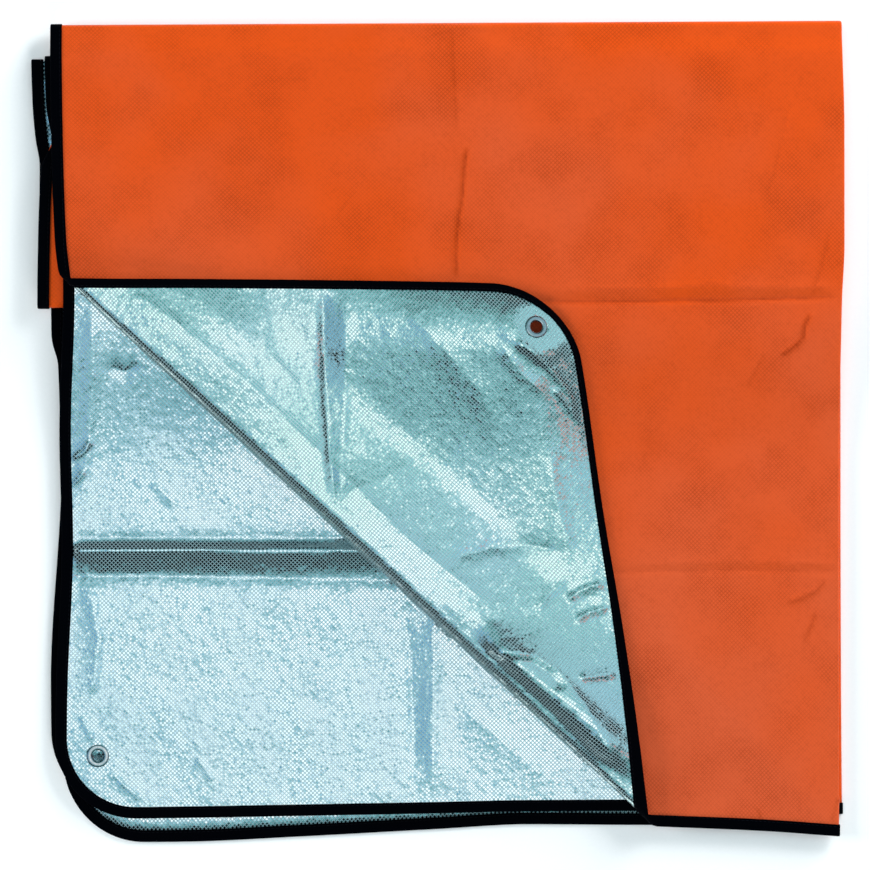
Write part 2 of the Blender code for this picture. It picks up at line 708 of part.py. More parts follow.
def cut_eyelet_hole(sheet, name, spot, collection):
    """The hole in the sheet that an eyelet's barrel passes through."""
    radius = HOLE_RADIUS + BARREL_WALL + FIT + FACET_CLEARANCE
    bpy.ops.mesh.primitive_cylinder_add(vertices=EYELET_STEPS, radius=radius, depth=CUTTER_DEPTH)
    cutter = bpy.context.object
    cutter.name = name + "_cutter"
    cutter.matrix_world = eyelet_matrix(spot)
    cutter.hide_render = True
    cutter.display_type = "WIRE"
    for owner in cutter.users_collection:
        owner.objects.unlink(cutter)
    collection.objects.link(cutter)
    cut = sheet.modifiers.new("Hole for " + name, "BOOLEAN")
    cut.operation = "DIFFERENCE"
    cut.object = cutter


def main():
    """Builds the sheet, its binding and its eyelets."""
    for leftover in list(bpy.data.objects):
        bpy.data.objects.remove(leftover, do_unlink=True)
    parts = bpy.data.collections.new("emergency_foil_blanket")
    cutters = bpy.data.collections.new("cutters")
    for collection in (parts, cutters):
        bpy.context.scene.collection.children.link(collection)

    film = make_material("foil film", ORANGE, roughness=0.45, metallic=0.0)
    tape = make_material("binding tape", BLACK, roughness=0.85, metallic=0.0)
    steel = make_material("plated steel", STEEL, roughness=0.35, metallic=1.0)
    sheet = make_folded("blanket_sheet", flat_sheet(), parts, film)
    make_folded("edge_binding", flat_binding(), parts, tape)
    for name, spot in EYELET_SPOTS.items():
        make_eyelet(name, spot, parts, steel)
        cut_eyelet_hole(sheet, name, spot, cutters)


main()
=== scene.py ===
import math
import bmesh
import bpy
import numpy as np
from mathutils import Matrix, Vector


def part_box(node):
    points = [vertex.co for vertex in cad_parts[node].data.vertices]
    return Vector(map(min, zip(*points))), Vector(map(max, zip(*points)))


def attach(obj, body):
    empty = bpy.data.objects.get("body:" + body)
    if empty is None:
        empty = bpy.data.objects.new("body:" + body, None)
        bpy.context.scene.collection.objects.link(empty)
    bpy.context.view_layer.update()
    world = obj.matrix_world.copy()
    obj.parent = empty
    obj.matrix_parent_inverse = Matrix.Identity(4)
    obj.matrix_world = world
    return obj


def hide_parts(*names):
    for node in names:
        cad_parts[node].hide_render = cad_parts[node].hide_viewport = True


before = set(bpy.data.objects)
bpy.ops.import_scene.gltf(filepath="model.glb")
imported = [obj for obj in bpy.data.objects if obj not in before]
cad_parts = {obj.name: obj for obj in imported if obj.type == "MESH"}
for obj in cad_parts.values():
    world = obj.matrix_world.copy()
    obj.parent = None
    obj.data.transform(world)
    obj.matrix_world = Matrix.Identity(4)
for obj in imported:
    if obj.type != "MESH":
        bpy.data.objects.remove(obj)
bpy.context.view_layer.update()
mm = 0.001
print("frame loaded")

# s and v are places on the sheet laid flat: s across from the middle, v along from the front end
fold = dict(  # mm
    halfWidth=777, sheet=1.0, cornerRadius=80.5, tapeWidth=11.5, tape=0.5, fit=0.3,  # the flat sheet and its tape
    frontPanel=789.5, firstPleat=270.0, secondPleat=236.5, backPanel=755.0,  # lengths between the bends
    halfGap=1.6, bendRadius=3.2, topY=398.0, topSkew=4.3, lowY=126.3, backY=362.7,  # the bends and where they lie
    backHeight=2.9, lowFront=10.3, rampTop=118.0, rampFoot=-34.0, droop=5.0, droopStart=367.0,  # heights
    sag=0.8, sagMargin=14.0, sagRun=24.0, backEyeletSide=44.2, backEyeletEnd=60.8,  # the lowest layer
    turnSide=537.0, turnFront=582.0, rollEnd=6.0, rollMiddle=13.0, edgeLift=3.5,  # the corner rolled back
    flapDome=5.0, cornerDome=18.0, domeReach=60.0, domeFade=250.0, domeMargin=75.0, domeFlat=14.0,
    settle=105.0, stiffRadius=17.5, stiffRun=24.0,  # how soon it lies flat, and the cloth held by an eyelet
)
fold = {key: value * mm for key, value in fold.items()}
pleatRise = 2 * fold["bendRadius"]
frontHeight = fold["backHeight"] + 3 * pleatRise
bendLength = math.pi * fold["bendRadius"]
flatLength = fold["frontPanel"] + fold["firstPleat"] + fold["secondPleat"] + fold["backPanel"] + 3 * bendLength
tip = fold["halfGap"] + fold["sheet"] / 2
tipArc = math.pi * fold["halfGap"] / 2
tapeEdge = fold["fit"] + fold["tape"]
runStarts = np.cumsum([0, fold["frontPanel"], bendLength, fold["firstPleat"], bendLength, fold["secondPleat"],
                       bendLength])  # where each panel and bend starts

sides = np.array([  # outer x of the half-width fold and of the two bound sides, against the length
    # v     fold   upper   under
    (0,    394.2, -332.0, -376.0),
    (120,  394.2, -343.5, -375.0),
    (275,  394.2, -355.0, -369.2),
    (385,  394.5, -362.0, -371.4),
    (520,  396.5, -370.0, -367.3),
    (575,  399.0, -375.5, -367.5),
    (690,  398.9, -379.0, -369.5),
    (790,  396.5, -380.0, -370.2),
    (905,  396.0, -374.0, -376.0),
    (936,  396.0, -374.0, -388.8),
    (1000, 396.0, -374.5, -391.8),
    (1075, 396.0, -375.5, -392.7),
    (1215, 396.0, -377.5, -390.8),
    (1240, 396.0, -379.0, -394.7),
    (1275, 396.0, -384.5, -397.8),
    (1320, 396.0, -385.9, -399.1),
    (1400, 396.0, -384.5, -386.0),
    (1560, 396.0, -380.0, -366.5),
    (1592, 396.0, -379.5, -366.5),
    (1620, 396.0, -373.0, -366.8),
    (1760, 396.0, -369.5, -370.0),
    (1950, 396.5, -368.2, -380.0),
    (2080, 397.4, -368.2, -378.0),
]) * mm
ends = np.array([  # y of the bound ends, against the share of the way from the fold to the side
    # u       front upper, front under, back under, back upper
    (0.00e3, -397.2, -397.2, -375.8, -375.8),
    (0.10e3, -392.0, -386.0, -372.0, -382.0),
    (0.25e3, -387.5, -372.5, -368.0, -386.5),
    (0.40e3, -384.0, -373.0, -368.0, -385.8),
    (0.52e3, -379.3, -375.0, -369.0, -390.5),
    (0.70e3, -369.0, -377.5, -371.0, -398.0),
    (0.85e3, -362.5, -379.5, -373.0, -403.0),
    (1.00e3, -353.0, -380.7, -375.0, -403.6),
]) * mm
eyelets = {  # flat place of each eyelet's centre
    "eyelet_front_top": (-733.5 * mm, 40.15 * mm),
    "eyelet_front_under": (735.53 * mm, 62.26 * mm),
    "eyelet_back_upper": (732.37 * mm, 2024.82 * mm),
    "eyelet_back_lower": (-732.8 * mm, 2020.38 * mm),
}


def smooth(share):  # a soft step from 0 to 1
    share = np.clip(share, 0.0, 1.0)
    return share * share * (3 - 2 * share)


def curve(table, column, at):  # a smooth line through one column that never overshoots its rows
    x, y = table[:, 0], table[:, column]
    rate = np.diff(y) / np.diff(x)
    before, after = np.append(rate[0], rate), np.append(rate, rate[-1])
    turning = before * after <= 0
    slope = np.where(turning, 0, 2 * before * after / np.where(turning, 1, before + after))
    low = np.clip(np.searchsorted(x, at, side="right") - 1, 0, len(x) - 2)
    run = x[low + 1] - x[low]
    share = (at - x[low]) / run
    t = np.clip(share, 0, 1)
    inside = y[low] * (1 + 2 * t) * (1 - t) ** 2 + y[low + 1] * t * t * (3 - 2 * t)
    inside += run * t * (1 - t) * (slope[low] * (1 - t) - slope[low + 1] * t)
    return inside + run * (slope[low] * np.minimum(share, 0) + slope[low + 1] * np.maximum(share - 1, 0))


def droopAt(y):  # the folded end sinks a little
    reach = fold["topY"] - fold["topSkew"] - fold["droopStart"]
    return fold["droop"] * smooth((y - fold["droopStart"]) / reach)


def frontAt(y):  # the front pair lies high over the pleats and low in front of them
    ramp = smooth((y - fold["rampFoot"]) / (fold["rampTop"] - fold["rampFoot"]))
    return fold["lowFront"] + (frontHeight - fold["lowFront"]) * ramp - droopAt(y)


def panel(y, height, heading):  # a panel's middle and normal, seen from the side
    tiny = 0.01 * mm
    slope = (height(y + tiny) - height(y - tiny)) / (2 * tiny)
    size = np.hypot(1, slope)
    return np.stack([y, height(y), -heading * slope / size, heading / size])


def bend(y, z, turned, outwards):  # the same, in a bend round a middle, to the right or to the left
    angle = -turned if outwards > 0 else turned - math.pi
    across, up = -np.sin(angle), np.cos(angle)
    reach = fold["bendRadius"] * outwards
    return np.stack([y + reach * across, z + reach * up, across, up])


def pairPath(v, u, upper):  # middle of the two layers and the way that the upper one faces
    top = fold["topY"] - fold["topSkew"] * u
    radius, back = fold["bendRadius"], fold["backHeight"]
    frontEnd = np.where(upper, curve(ends, 1, u), curve(ends, 2, u)) + tapeEdge
    backEnd = np.where(upper, curve(ends, 4, u), curve(ends, 3, u)) + tapeEdge
    at = [v - start for start in runStarts]
    low, far = fold["lowY"], fold["backY"]
    firstY = top + (low - top) * at[2] / fold["firstPleat"]
    secondY = low + (far - low) * at[4] / fold["secondPleat"]
    backY = far + (backEnd - far) * at[6] / fold["backPanel"]
    parts = [
        panel(top - (top - frontEnd) * (1 - v / fold["frontPanel"]), frontAt, 1),
        bend(top, frontHeight - radius - droopAt(top), at[1] / radius, 1),
        panel(firstY, lambda y: back + 2 * pleatRise - droopAt(y), -1),
        bend(low + 0 * v, back + 1.5 * pleatRise, at[3] / radius, -1),
        panel(secondY, lambda y: back + pleatRise + 0 * y, 1),
        bend(far + 0 * v, back + pleatRise / 2, at[5] / radius, 1),
        panel(backY, lambda y: back + 0 * y, -1),
    ]
    part = np.clip(np.searchsorted(runStarts, v, side="right") - 1, 0, len(parts) - 1)
    return np.choose(part, parts)


def edgeDistance(fromSide, fromEnd):  # how far in from the sheet's edge, round the corners too
    radius = fold["cornerRadius"]
    rounded = radius - np.hypot(radius - fromSide, radius - fromEnd)
    return np.where(np.maximum(fromSide, fromEnd) < radius, rounded, np.minimum(fromSide, fromEnd))


def sagAt(s, v):  # the lowest layer drops to lie flat, clear of its edges, eyelet and folds
    backStart = flatLength - fold["backPanel"]
    fromSide, fromEnd = s + fold["halfWidth"], flatLength - v
    fromEyelet = np.maximum(abs(fromSide - fold["backEyeletSide"]), abs(fromEnd - fold["backEyeletEnd"]))
    reach = np.where((s > 0) | (v < backStart), 0.0, fold["sag"])
    for distance in (edgeDistance(fromSide, fromEnd), fromEyelet, -s, v - backStart):
        reach = reach * smooth((distance - fold["sagMargin"]) / fold["sagRun"])
    return reach


def foldPair(s, v):  # both folds made, no corner turned up
    away, upper = abs(s), s < 0
    foldX = curve(sides, 1, v) - tip
    edgeX = np.where(upper, curve(sides, 2, v), curve(sides, 3, v)) + tapeEdge
    u = np.maximum(away - tipArc, 0) / (fold["halfWidth"] - tipArc)
    y, z, normalY, normalZ = pairPath(v, u, upper)
    turn = np.clip(s, -tipArc, tipArc) / fold["halfGap"]
    x = np.where(away < tipArc, foldX + fold["halfGap"] * np.cos(turn), foldX + (edgeX - foldX) * u)
    offset = -fold["halfGap"] * np.sin(turn)
    return np.stack([x, y + offset * normalY, z + offset * normalZ - sagAt(s, v)], axis=-1)


rollStart = foldPair(np.array([-fold["halfWidth"]]), np.array([fold["turnSide"]]))[0, :2]
rollEnd = foldPair(np.array([-fold["halfWidth"] + fold["turnFront"]]), np.array([0.0]))[0, :2]
rollLength = np.linalg.norm(rollEnd - rollStart)
rollAlong = (rollEnd - rollStart) / rollLength
rollInwards = np.array([-rollAlong[1], rollAlong[0]])
pinch = dict(x0=50, y0=-205, x1=191, y1=-323, rise=6.3, halfWidth=25, overrun=0.25, fade=0.4, start=14)
settling = np.array([(0, 0), (0.15, 0.03), (0.3, 0.14), (0.6, 0.52), (0.9, 0.93), (1.0, 1.0)])  # run, drop


def pinchAt(spot):  # the pinched ridge that leaves the roll
    start = np.array([pinch["x0"], pinch["y0"]]) * mm
    run = np.array([pinch["x1"], pinch["y1"]]) * mm - start
    share = (spot - start) @ run / (run @ run)
    nearest = start + run * np.clip(share, 0, 1)[:, None]
    fade = smooth(np.minimum(share + pinch["overrun"], 1 + pinch["overrun"] - share) / pinch["fade"])
    away = np.linalg.norm(spot - nearest, axis=1)
    return pinch["rise"] * mm * fade * smooth(1 - away / (pinch["halfWidth"] * mm))


def flapAt(s, v, beyond, radius, spot):  # height of the turned-up corner over the layer it lies on
    fromSide = s + fold["halfWidth"]
    fromEdge = edgeDistance(fromSide, v)
    underTape = np.minimum(fromEdge - fold["domeFlat"], 0)
    rest = 1 - np.minimum(np.maximum(fromEdge, fold["domeFlat"]) / fold["domeMargin"], 1)
    dome = 1 - rest ** 2 + 2 * rest * underTape / fold["domeMargin"]
    fromCorner = smooth((np.hypot(fromSide, v) - fold["domeReach"]) / fold["domeFade"])
    lying = fold["edgeLift"] + (fold["cornerDome"] + (fold["flapDome"] - fold["cornerDome"]) * fromCorner) * dome
    settled = curve(settling, 1, np.clip(beyond / fold["settle"], 0, 1))
    ridge = pinchAt(spot) * smooth(beyond / (pinch["start"] * mm))
    return 2 * radius + (lying - 2 * radius) * settled + ridge


def rollWound(point):  # place along the roll, its radius, and how far the sheet has gone round it
    fromStart = point[:, :2] - rollStart
    along = fromStart @ rollAlong
    middle = np.sin(math.pi * np.clip(along / rollLength, 0, 1))
    radius = fold["rollEnd"] + (fold["rollMiddle"] - fold["rollEnd"]) * middle
    return along, radius, radius - fromStart @ rollInwards


def turnUp(s, v, point):  # the upper layer's front corner rolled back over itself
    along, radius, wound = rollWound(point)
    angle = np.clip(wound / radius, 0, math.pi)
    beyond = np.maximum(wound - math.pi * radius, 0)
    inwards = radius - radius * np.sin(angle) + beyond
    spot = rollStart + along[:, None] * rollAlong + inwards[:, None] * rollInwards
    lift = radius - radius * np.cos(angle)
    lift = np.where(beyond > 0, flapAt(s, v, beyond, radius, spot), lift)
    y, z, normalY, normalZ = panel(spot[:, 1], frontAt, 1)
    gap = fold["halfGap"]
    turned = np.stack([spot[:, 0], y + gap * normalY, z + gap * normalZ + lift], axis=-1)
    return np.where((wound > 0)[:, None], turned, point)


def place(s, v):  # all folds made
    point = foldPair(s, v)
    turning = (s < 0) & (v < fold["frontPanel"])
    return np.where(turning[:, None], turnUp(s, v, point), point)


def patchPlane(s, v):  # the flat plane in which an eyelet holds the cloth round it
    tiny = 0.5 * mm
    a, b, c, d, centre = place(np.array([s + tiny, s - tiny, s, s, s]), np.array([v, v, v + tiny, v - tiny, v]))
    return s, v, centre, (a - b) / (2 * tiny), (c - d) / (2 * tiny)


patches = [patchPlane(*spot) for spot in eyelets.values()]


def clothPlace(s, v):  # the same, with the cloth held flat round each eyelet
    point = place(s, v)
    for centreS, centreV, centre, across, along in patches:
        flatPoint = centre + np.outer(s - centreS, across) + np.outer(v - centreV, along)
        held = 1 - smooth((np.hypot(s - centreS, v - centreV) - fold["stiffRadius"]) / fold["stiffRun"])
        point = point + (flatPoint - point) * held[:, None]
    return point


def orangeNormal(s, v):  # the way that the orange face looks
    tiny = 0.002 * mm
    across = clothPlace(s + tiny, v) - clothPlace(s - tiny, v)
    along = clothPlace(s, v + tiny) - clothPlace(s, v - tiny)
    normal = np.cross(across, along)
    return normal / np.linalg.norm(normal, axis=1, keepdims=True)


# creases left by storage and handling
crease = dict(step=0.98, middleX=437.75, middleY=431.5,  # mm to a step, and steps from the top left corner
                  power=1.5, start=0.1,  # how sharp its crest is, and how high it starts
                  shadeAndWear=2.2, edge=9.0, edgeFade=9.0, rollLead=2.0, rollFade=10.0)  # mm; the first is how far the painted crease shade reaches
farAway = 9.0  # metres


def plan(x, y):  # a place seen from above
    across, up = x - crease["middleX"], crease["middleY"] - y
    return np.array([across * crease["step"], up * crease["step"]]) * mm


creases = {  # points it runs through, rise, width to the left and right of the way it runs, fade at its ends
    "orange": [
        ([(468, 144), (464, 170), (463, 194), (459, 216), (457, 236), (456, 278)], 2.5, 4, 3, 12),
        ([(452, 22), (455, 80), (457, 132)], 0.9, 8, 4, 20),
        ([(530, 302), (640, 301.5), (700, 300.5), (780, 299), (840, 297)], -2.0, 13, 3, 25),
        ([(560, 290), (680, 288), (714, 283), (740, 288), (840, 287)], 1.3, 8, 13, 25),
        ([(600, 572), (730, 570), (840, 571)], -1.0, 8, 4, 20),
        ([(640, 565), (730, 562), (840, 564)], 0.8, 6, 8, 25),
        ([(830, 230), (820, 272), (812, 297)], 1.0, 3, 5, 12),
        ([(812, 311), (805, 325), (804, 336), (796, 345), (780, 356)], 2.7, 4, 3, 8),
        ([(791, 95), (784, 130), (776, 165), (765, 205)], 0.8, 4, 8, 25),
        ([(766, 350), (758, 366), (746, 388)], 0.8, 3, 6, 10),
        ([(829, 576), (818, 590), (802, 598), (787, 604)], 1.9, 4, 5, 10),
        ([(818, 607), (812, 625), (804, 643)], 1.7, 3, 4, 12),
        ([(363, 180), (348, 200), (333, 222)], 0.7, 4, 8, 15),
        ([(415, 40), (455, 28), (500, 24)], 0.8, 6, 10, 15),
        ([(757, 806), (763, 823)], 1.1, 3, 4, 5),
        ([(840, 796), (832, 822)], 1.1, 3, 4, 5),
        ([(700, 815), (706, 822)], 0.8, 3, 4, 4),
    ],
    "flap": [
        ([(322, 286), (323, 340), (326, 400), (330, 460), (335, 505)], -3.2, 24, 7, 30),
        ([(347, 286), (346, 360), (344, 440), (338, 500)], 1.1, 6, 20, 50),
        ([(262, 286), (268, 330), (263, 360)], 0.7, 5, 8, 20),
        ([(268, 350), (285, 370), (302, 388)], 0.6, 4, 7, 15),
        ([(120, 282), (180, 325), (250, 385), (330, 462), (410, 540), (500, 612)], 1.1, 10, 24, 40),
        ([(480, 654), (505, 652), (535, 657), (560, 674), (585, 708), (602, 738), (616, 765)], 5.0, 34, 36, 26),
        ([(484, 660), (505, 658), (530, 662), (550, 674), (562, 690)], -2.2, 7, 20, 8),
        ([(440, 602), (470, 617), (500, 628), (540, 650), (562, 672)], 1.2, 24, 22, 15),
        ([(577, 679), (595, 677), (618, 674)], 1.8, 12, 4, 8),
        ([(566, 600), (578, 592), (590, 586), (605, 583)], 1.8, 4, 8, 6),
        ([(574, 620), (590, 612), (612, 606)], 1.6, 4, 7, 6),
        ([(566, 580), (548, 595), (538, 612)], 1.0, 7, 9, 10),
        ([(516, 340), (533, 352), (553, 372), (568, 392), (587, 430)], 2.4, 4, 7, 8),
        ([(553, 387), (566, 404), (580, 425), (588, 440)], 2.0, 4, 4, 8),
        ([(500, 343), (520, 372), (545, 395)], 1.2, 9, 12, 15),
        ([(395, 300), (440, 345), (480, 392), (500, 440)], 1.2, 22, 26, 50),
        ([(445, 560), (490, 548), (530, 545), (566, 552)], -1.6, 15, 12, 25),
        ([(335, 500), (400, 470), (440, 430)], 0.8, 20, 20, 40),
        ([(548, 440), (556, 500), (572, 560)], 1.6, 14, 22, 40),
    ],
    "silver": [
        ([(64, 550), (150, 549.5), (260, 550), (350, 550), (400, 549)], 6.2, 9, 26, 12),
        ([(64, 577), (150, 576), (260, 578), (350, 580), (400, 581)], -2.2, 25, 14, 14),
        ([(66, 538), (200, 537), (390, 538)], -0.8, 7, 6, 30),
        ([(66, 296), (80, 296), (97, 299)], 1.1, 4, 9, 5),
        ([(92, 296), (92, 380), (89, 440), (80, 500)], 1.9, 16, 20, 40),
        ([(434, 590), (433, 680), (432, 800)], 1.3, 16, 15, 40),
        ([(404, 600), (412, 680), (414, 780)], -1.2, 14, 12, 40),
        ([(84, 562), (92, 600), (98, 640), (92, 700)], 1.3, 8, 16, 20),
        ([(90, 440), (84, 452), (70, 460)], 1.7, 4, 7, 5),
        ([(84, 470), (78, 480), (68, 488)], 1.4, 4, 7, 5),
        ([(105, 365), (125, 372), (140, 362)], -1.5, 10, 12, 12),
        ([(80, 716), (88, 730), (92, 742)], 1.0, 3, 5, 5),
        ([(110, 770), (124, 786), (142, 800)], 1.0, 4, 6, 8),
        ([(196, 758), (205, 770), (214, 782)], 0.8, 5, 6, 6),
        ([(450, 700), (500, 740), (560, 790)], 1.1, 20, 25, 40),
        ([(150, 480), (170, 500), (182, 505)], 1.0, 8, 10, 12),
    ],
    "lowest": [
        ([(80, 747.5), (97, 750.2), (115, 753.5)], 3.1, 5, 16, 4),
        ([(80, 760), (97, 763), (115, 766)], -1.0, 12, 4, 4),
    ],
}


def creaseLines(layer, spot):  # height of the creases at each spot, how near one is, and how dark the painted shade along each crease is
    count = len(spot)
    rise, near, shadeAndWear = np.zeros(count), np.full(count, farAway), np.zeros(count)
    for points, top, left, right, fade in creases[layer]:
        line = np.array([plan(*point) for point in points])
        runs = np.diff(line, axis=0)
        lengths = np.linalg.norm(runs, axis=1)
        away, along, side = np.full(count, farAway), np.zeros(count), np.zeros(count)
        for index, (run, length) in enumerate(zip(runs, lengths)):
            off = spot - line[index]
            share = np.clip(off @ run / length ** 2, 0, 1)
            distance = np.linalg.norm(off - share[:, None] * run, axis=1)
            closer = distance < away
            away = np.where(closer, distance, away)
            along = np.where(closer, lengths[:index].sum() + share * length, along)
            side = np.where(closer, run[0] * off[:, 1] - run[1] * off[:, 0], side)
        width = np.where(side > 0, left, right) * mm
        shown = smooth(np.minimum(along, lengths.sum() - along) / (fade * mm) + crease["start"])
        rise += top * mm * shown * np.clip(1 - away / width, 0, 1) ** crease["power"]
        near = np.minimum(near, away)
        sharp = min(1.0, abs(top) / min(left, right))
        shadeAndWear = np.maximum(shadeAndWear, sharp * shown * np.clip(1 - away / (crease["shadeAndWear"] * mm), 0, 1))
    return rise, near, shadeAndWear


def shownLayer(s, v):  # which layer shows at each place
    _, radius, wound = rollWound(foldPair(s, v))
    front = v < fold["frontPanel"]
    layer = np.where((s > 0) & front, "silver", "none")
    layer = np.where((s < 0) & front & (wound < 0), "orange", layer)
    layer = np.where((s < 0) & (v > flatLength - fold["backPanel"]), "lowest", layer)
    return np.where((s < 0) & front & (wound > 0.5 * math.pi * radius), "flap", layer)


def wrinkles(s, v, point):  # height of all creases over the smooth folds, towards the orange face
    layer = shownLayer(s, v)
    _, radius, wound = rollWound(foldPair(s, v))
    overRoll = smooth((wound - math.pi * radius + crease["rollLead"] * mm) / (crease["rollFade"] * mm))
    rise = np.zeros(len(s))
    for name, way in (("orange", 1), ("flap", -1), ("silver", -1), ("lowest", -1)):
        chosen = layer == name
        rise[chosen] = way * creaseLines(name, point[chosen, :2])[0]
    rise *= np.where(layer == "flap", overRoll, 1.0)
    fromEdge = edgeDistance(fold["halfWidth"] - abs(s), np.minimum(v, flatLength - v))
    return rise * smooth((fromEdge - crease["edge"] * mm) / (crease["edgeFade"] * mm))


def flatPoints(mesh):
    flat = np.empty(len(mesh.vertices) * 3, np.float32)
    mesh.vertices.foreach_get("co", flat)
    return flat.reshape(-1, 3).astype(float).T


def foldMesh(mesh):  # moves every point of a flat mesh to its folded place
    s, v, height = flatPoints(mesh)
    point = clothPlace(s, v)
    point += orangeNormal(s, v) * (height + wrinkles(s, v, point))[:, None]
    mesh.vertices.foreach_set("co", point.astype(np.float32).ravel())
    mesh.update()


def markCreaseShade(mesh):  # keeps on a flat mesh how dark the painted shade in the orange face's creases is at each point
    s, v, _ = flatPoints(mesh)
    point = clothPlace(s, v)
    chosen = shownLayer(s, v) == "orange"
    shadeAndWear = np.zeros(len(s), np.float32)
    shadeAndWear[chosen] = creaseLines("orange", point[chosen, :2])[2]
    mesh.attributes.new("shadeAndWear", "FLOAT", "POINT").data.foreach_set("value", shadeAndWear)


# the sheet
sheet = dict(thickness=0.35, hole=7.6, punched=0.7, weld=0.05,  # mm, and the share of the hole cut out square first
             cell=20.0, cuts=2, bendCells=2, hiddenBendCells=6,  # mm, and how often it is divided
             fineMargin=30.0, creaseReach=(8.0, 1.2), rollMargin=4.0, openCorner=1.15)  # where the cells are small


def spaced(start, end, cell):  # steps of about one cell
    return np.linspace(start, end, max(1, round((end - start) / cell)) + 1)


def sheetLines():  # where the grid's lines run: some at the two sides of each bend
    cell, near = sheet["cell"] * mm, fold["halfWidth"]
    half = spaced(tipArc, near, cell)
    across = np.concatenate([-half[::-1], spaced(-tipArc, tipArc, tipArc)[1:-1], half])
    along, at = [spaced(0, fold["frontPanel"], cell)], fold["frontPanel"]
    for run, cells in ((fold["firstPleat"], sheet["bendCells"]), (fold["secondPleat"], sheet["hiddenBendCells"]),
                       (fold["backPanel"], sheet["hiddenBendCells"])):
        along.append(spaced(at, at + bendLength, bendLength / cells)[1:])
        at += bendLength
        along.append(spaced(at, at + run, cell)[1:])
        at += run
    return across, np.concatenate(along)


def shownFace(s, v):  # the parts that show, or that go round a fold in sight
    if v > fold["frontPanel"] + bendLength:
        return any(math.hypot(s - a, v - b) < sheet["fineMargin"] * mm for a, b in eyelets.values())
    openCorner = (fold["halfWidth"] - s) / fold["turnFront"] + v / fold["turnSide"]
    return s < tipArc or openCorner < sheet["openCorner"]


def byCrease(shape, reach):  # faces close to a crease, which need smaller cells
    middles = np.array([face.calc_center_median().xy for face in shape.faces])
    s, v = middles.T
    point = clothPlace(s, v)
    layer = shownLayer(s, v)
    _, radius, wound = rollWound(foldPair(s, v))
    margin = sheet["rollMargin"] * mm
    onRoll = (wound > -margin) & (wound < math.pi * radius + margin) & (s < 0) & (v < fold["turnSide"] + margin)
    close = onRoll & (reach == sheet["creaseReach"][0])
    for name in creases:
        chosen = layer == name
        close[chosen] |= creaseLines(name, point[chosen, :2])[1] < reach * mm
    return close


def addObject(name, data):
    added = bpy.data.objects.new(name, data)
    bpy.context.scene.collection.objects.link(added)
    return added


def divide(shape, faces, cuts):
    edges = list({edge for face in faces for edge in face.edges})
    bmesh.ops.subdivide_edges(shape, edges=edges, cuts=cuts, use_grid_fill=True)


def roundCorners(shape):
    reach = fold["cornerRadius"]
    inner = Vector((fold["halfWidth"] - reach, flatLength / 2 - reach))
    for vertex in shape.verts:
        local = Vector((vertex.co.x, vertex.co.y - flatLength / 2))
        corner = Vector((abs(local.x) - inner.x, abs(local.y) - inner.y))
        if min(corner) > 0:
            corner *= max(corner) / corner.length
            vertex.co.x = math.copysign(inner.x + corner.x, local.x)
            vertex.co.y = flatLength / 2 + math.copysign(inner.y + corner.y, local.y)


def punchHoles(shape):  # hidden under the eyelets' flanges
    holes, hole = [Vector(spot) for spot in eyelets.values()], sheet["hole"] * mm
    punched = [face for face in shape.faces if sheet["punched"] * hole > min(
        (face.calc_center_median().xy - middle).length for middle in holes)]
    bmesh.ops.delete(shape, geom=punched, context="FACES")
    for vertex in shape.verts:
        for middle in holes:
            out = vertex.co.xy - middle
            if out.length < hole:
                vertex.co.xy = middle + out.normalized() * hole


def makeSheet():
    across, along = sheetLines()
    mesh = bpy.data.meshes.new("foil_sheet")
    shape = bmesh.new()
    grid = [[shape.verts.new((s, v, 0)) for v in along] for s in across]
    for i in range(len(across) - 1):
        for j in range(len(along) - 1):
            shape.faces.new((grid[i][j], grid[i + 1][j], grid[i + 1][j + 1], grid[i][j + 1]))
    divide(shape, [face for face in shape.faces if shownFace(*face.calc_center_median().xy)], sheet["cuts"])
    for reach in sheet["creaseReach"]:
        divide(shape, [face for face, close in zip(shape.faces, byCrease(shape, reach)) if close], 1)
    roundCorners(shape)
    punchHoles(shape)
    bmesh.ops.dissolve_degenerate(shape, edges=shape.edges, dist=sheet["weld"] * mm)
    layer = shape.loops.layers.uv.new("flat")
    for face in shape.faces:
        face.smooth = True
        for loop in face.loops:
            loop[layer].uv = loop.vert.co.xy
    bmesh.ops.triangulate(shape, faces=shape.faces)  # so that both faces of the wall are split alike
    shape.to_mesh(mesh)
    shape.free()
    markCreaseShade(mesh)
    foldMesh(mesh)
    piece = addObject("foil_sheet", mesh)
    solid = piece.modifiers.new("thickness", "SOLIDIFY")
    solid.thickness = sheet["thickness"] * mm
    solid.offset = 0
    solid.material_offset = 1
    return piece


def selectOnly(piece):
    bpy.ops.object.select_all(action="DESELECT")
    piece.select_set(True)
    bpy.context.view_layer.objects.active = piece


def finishPiece(piece):
    selectOnly(piece)
    for modifier in list(piece.modifiers):
        bpy.ops.object.modifier_apply(modifier=modifier.name)
    triangles = sum(len(face.vertices) - 2 for face in piece.data.polygons)
    print(piece.name, triangles, "triangles")


# the binding and its stitching
binding = dict(  # mm
    step=5.0, bendSteps=8, cornerSteps=26, roundSteps=6,  # how finely it follows the edge
    slot=0.45, outside=1.25, bulge=1.2, fold=0.4, lip=0.2, lipRun=0.5, flats=(0.55, 0.2), nip=0.9,  # its section
    besideSide=((0, 70, 520, 600), (6.2, 8.2, 8.6, 10.7)),  # reach over the silver of the turned-up corner:
    besideFront=((0, 200, 320, 420, 560, 700), (6.2, 6.0, 7.5, 9.5, 12.5, 10.7)),  # along it, and how far in
)
stitching = dict(step=4.6, length=3.3, radius=0.27, inset=2.2, sides=5,  # mm
                 lift=0.35, sunk=0.42, taper=0.45)  # shares of the radius: at the middle, and less at the ends


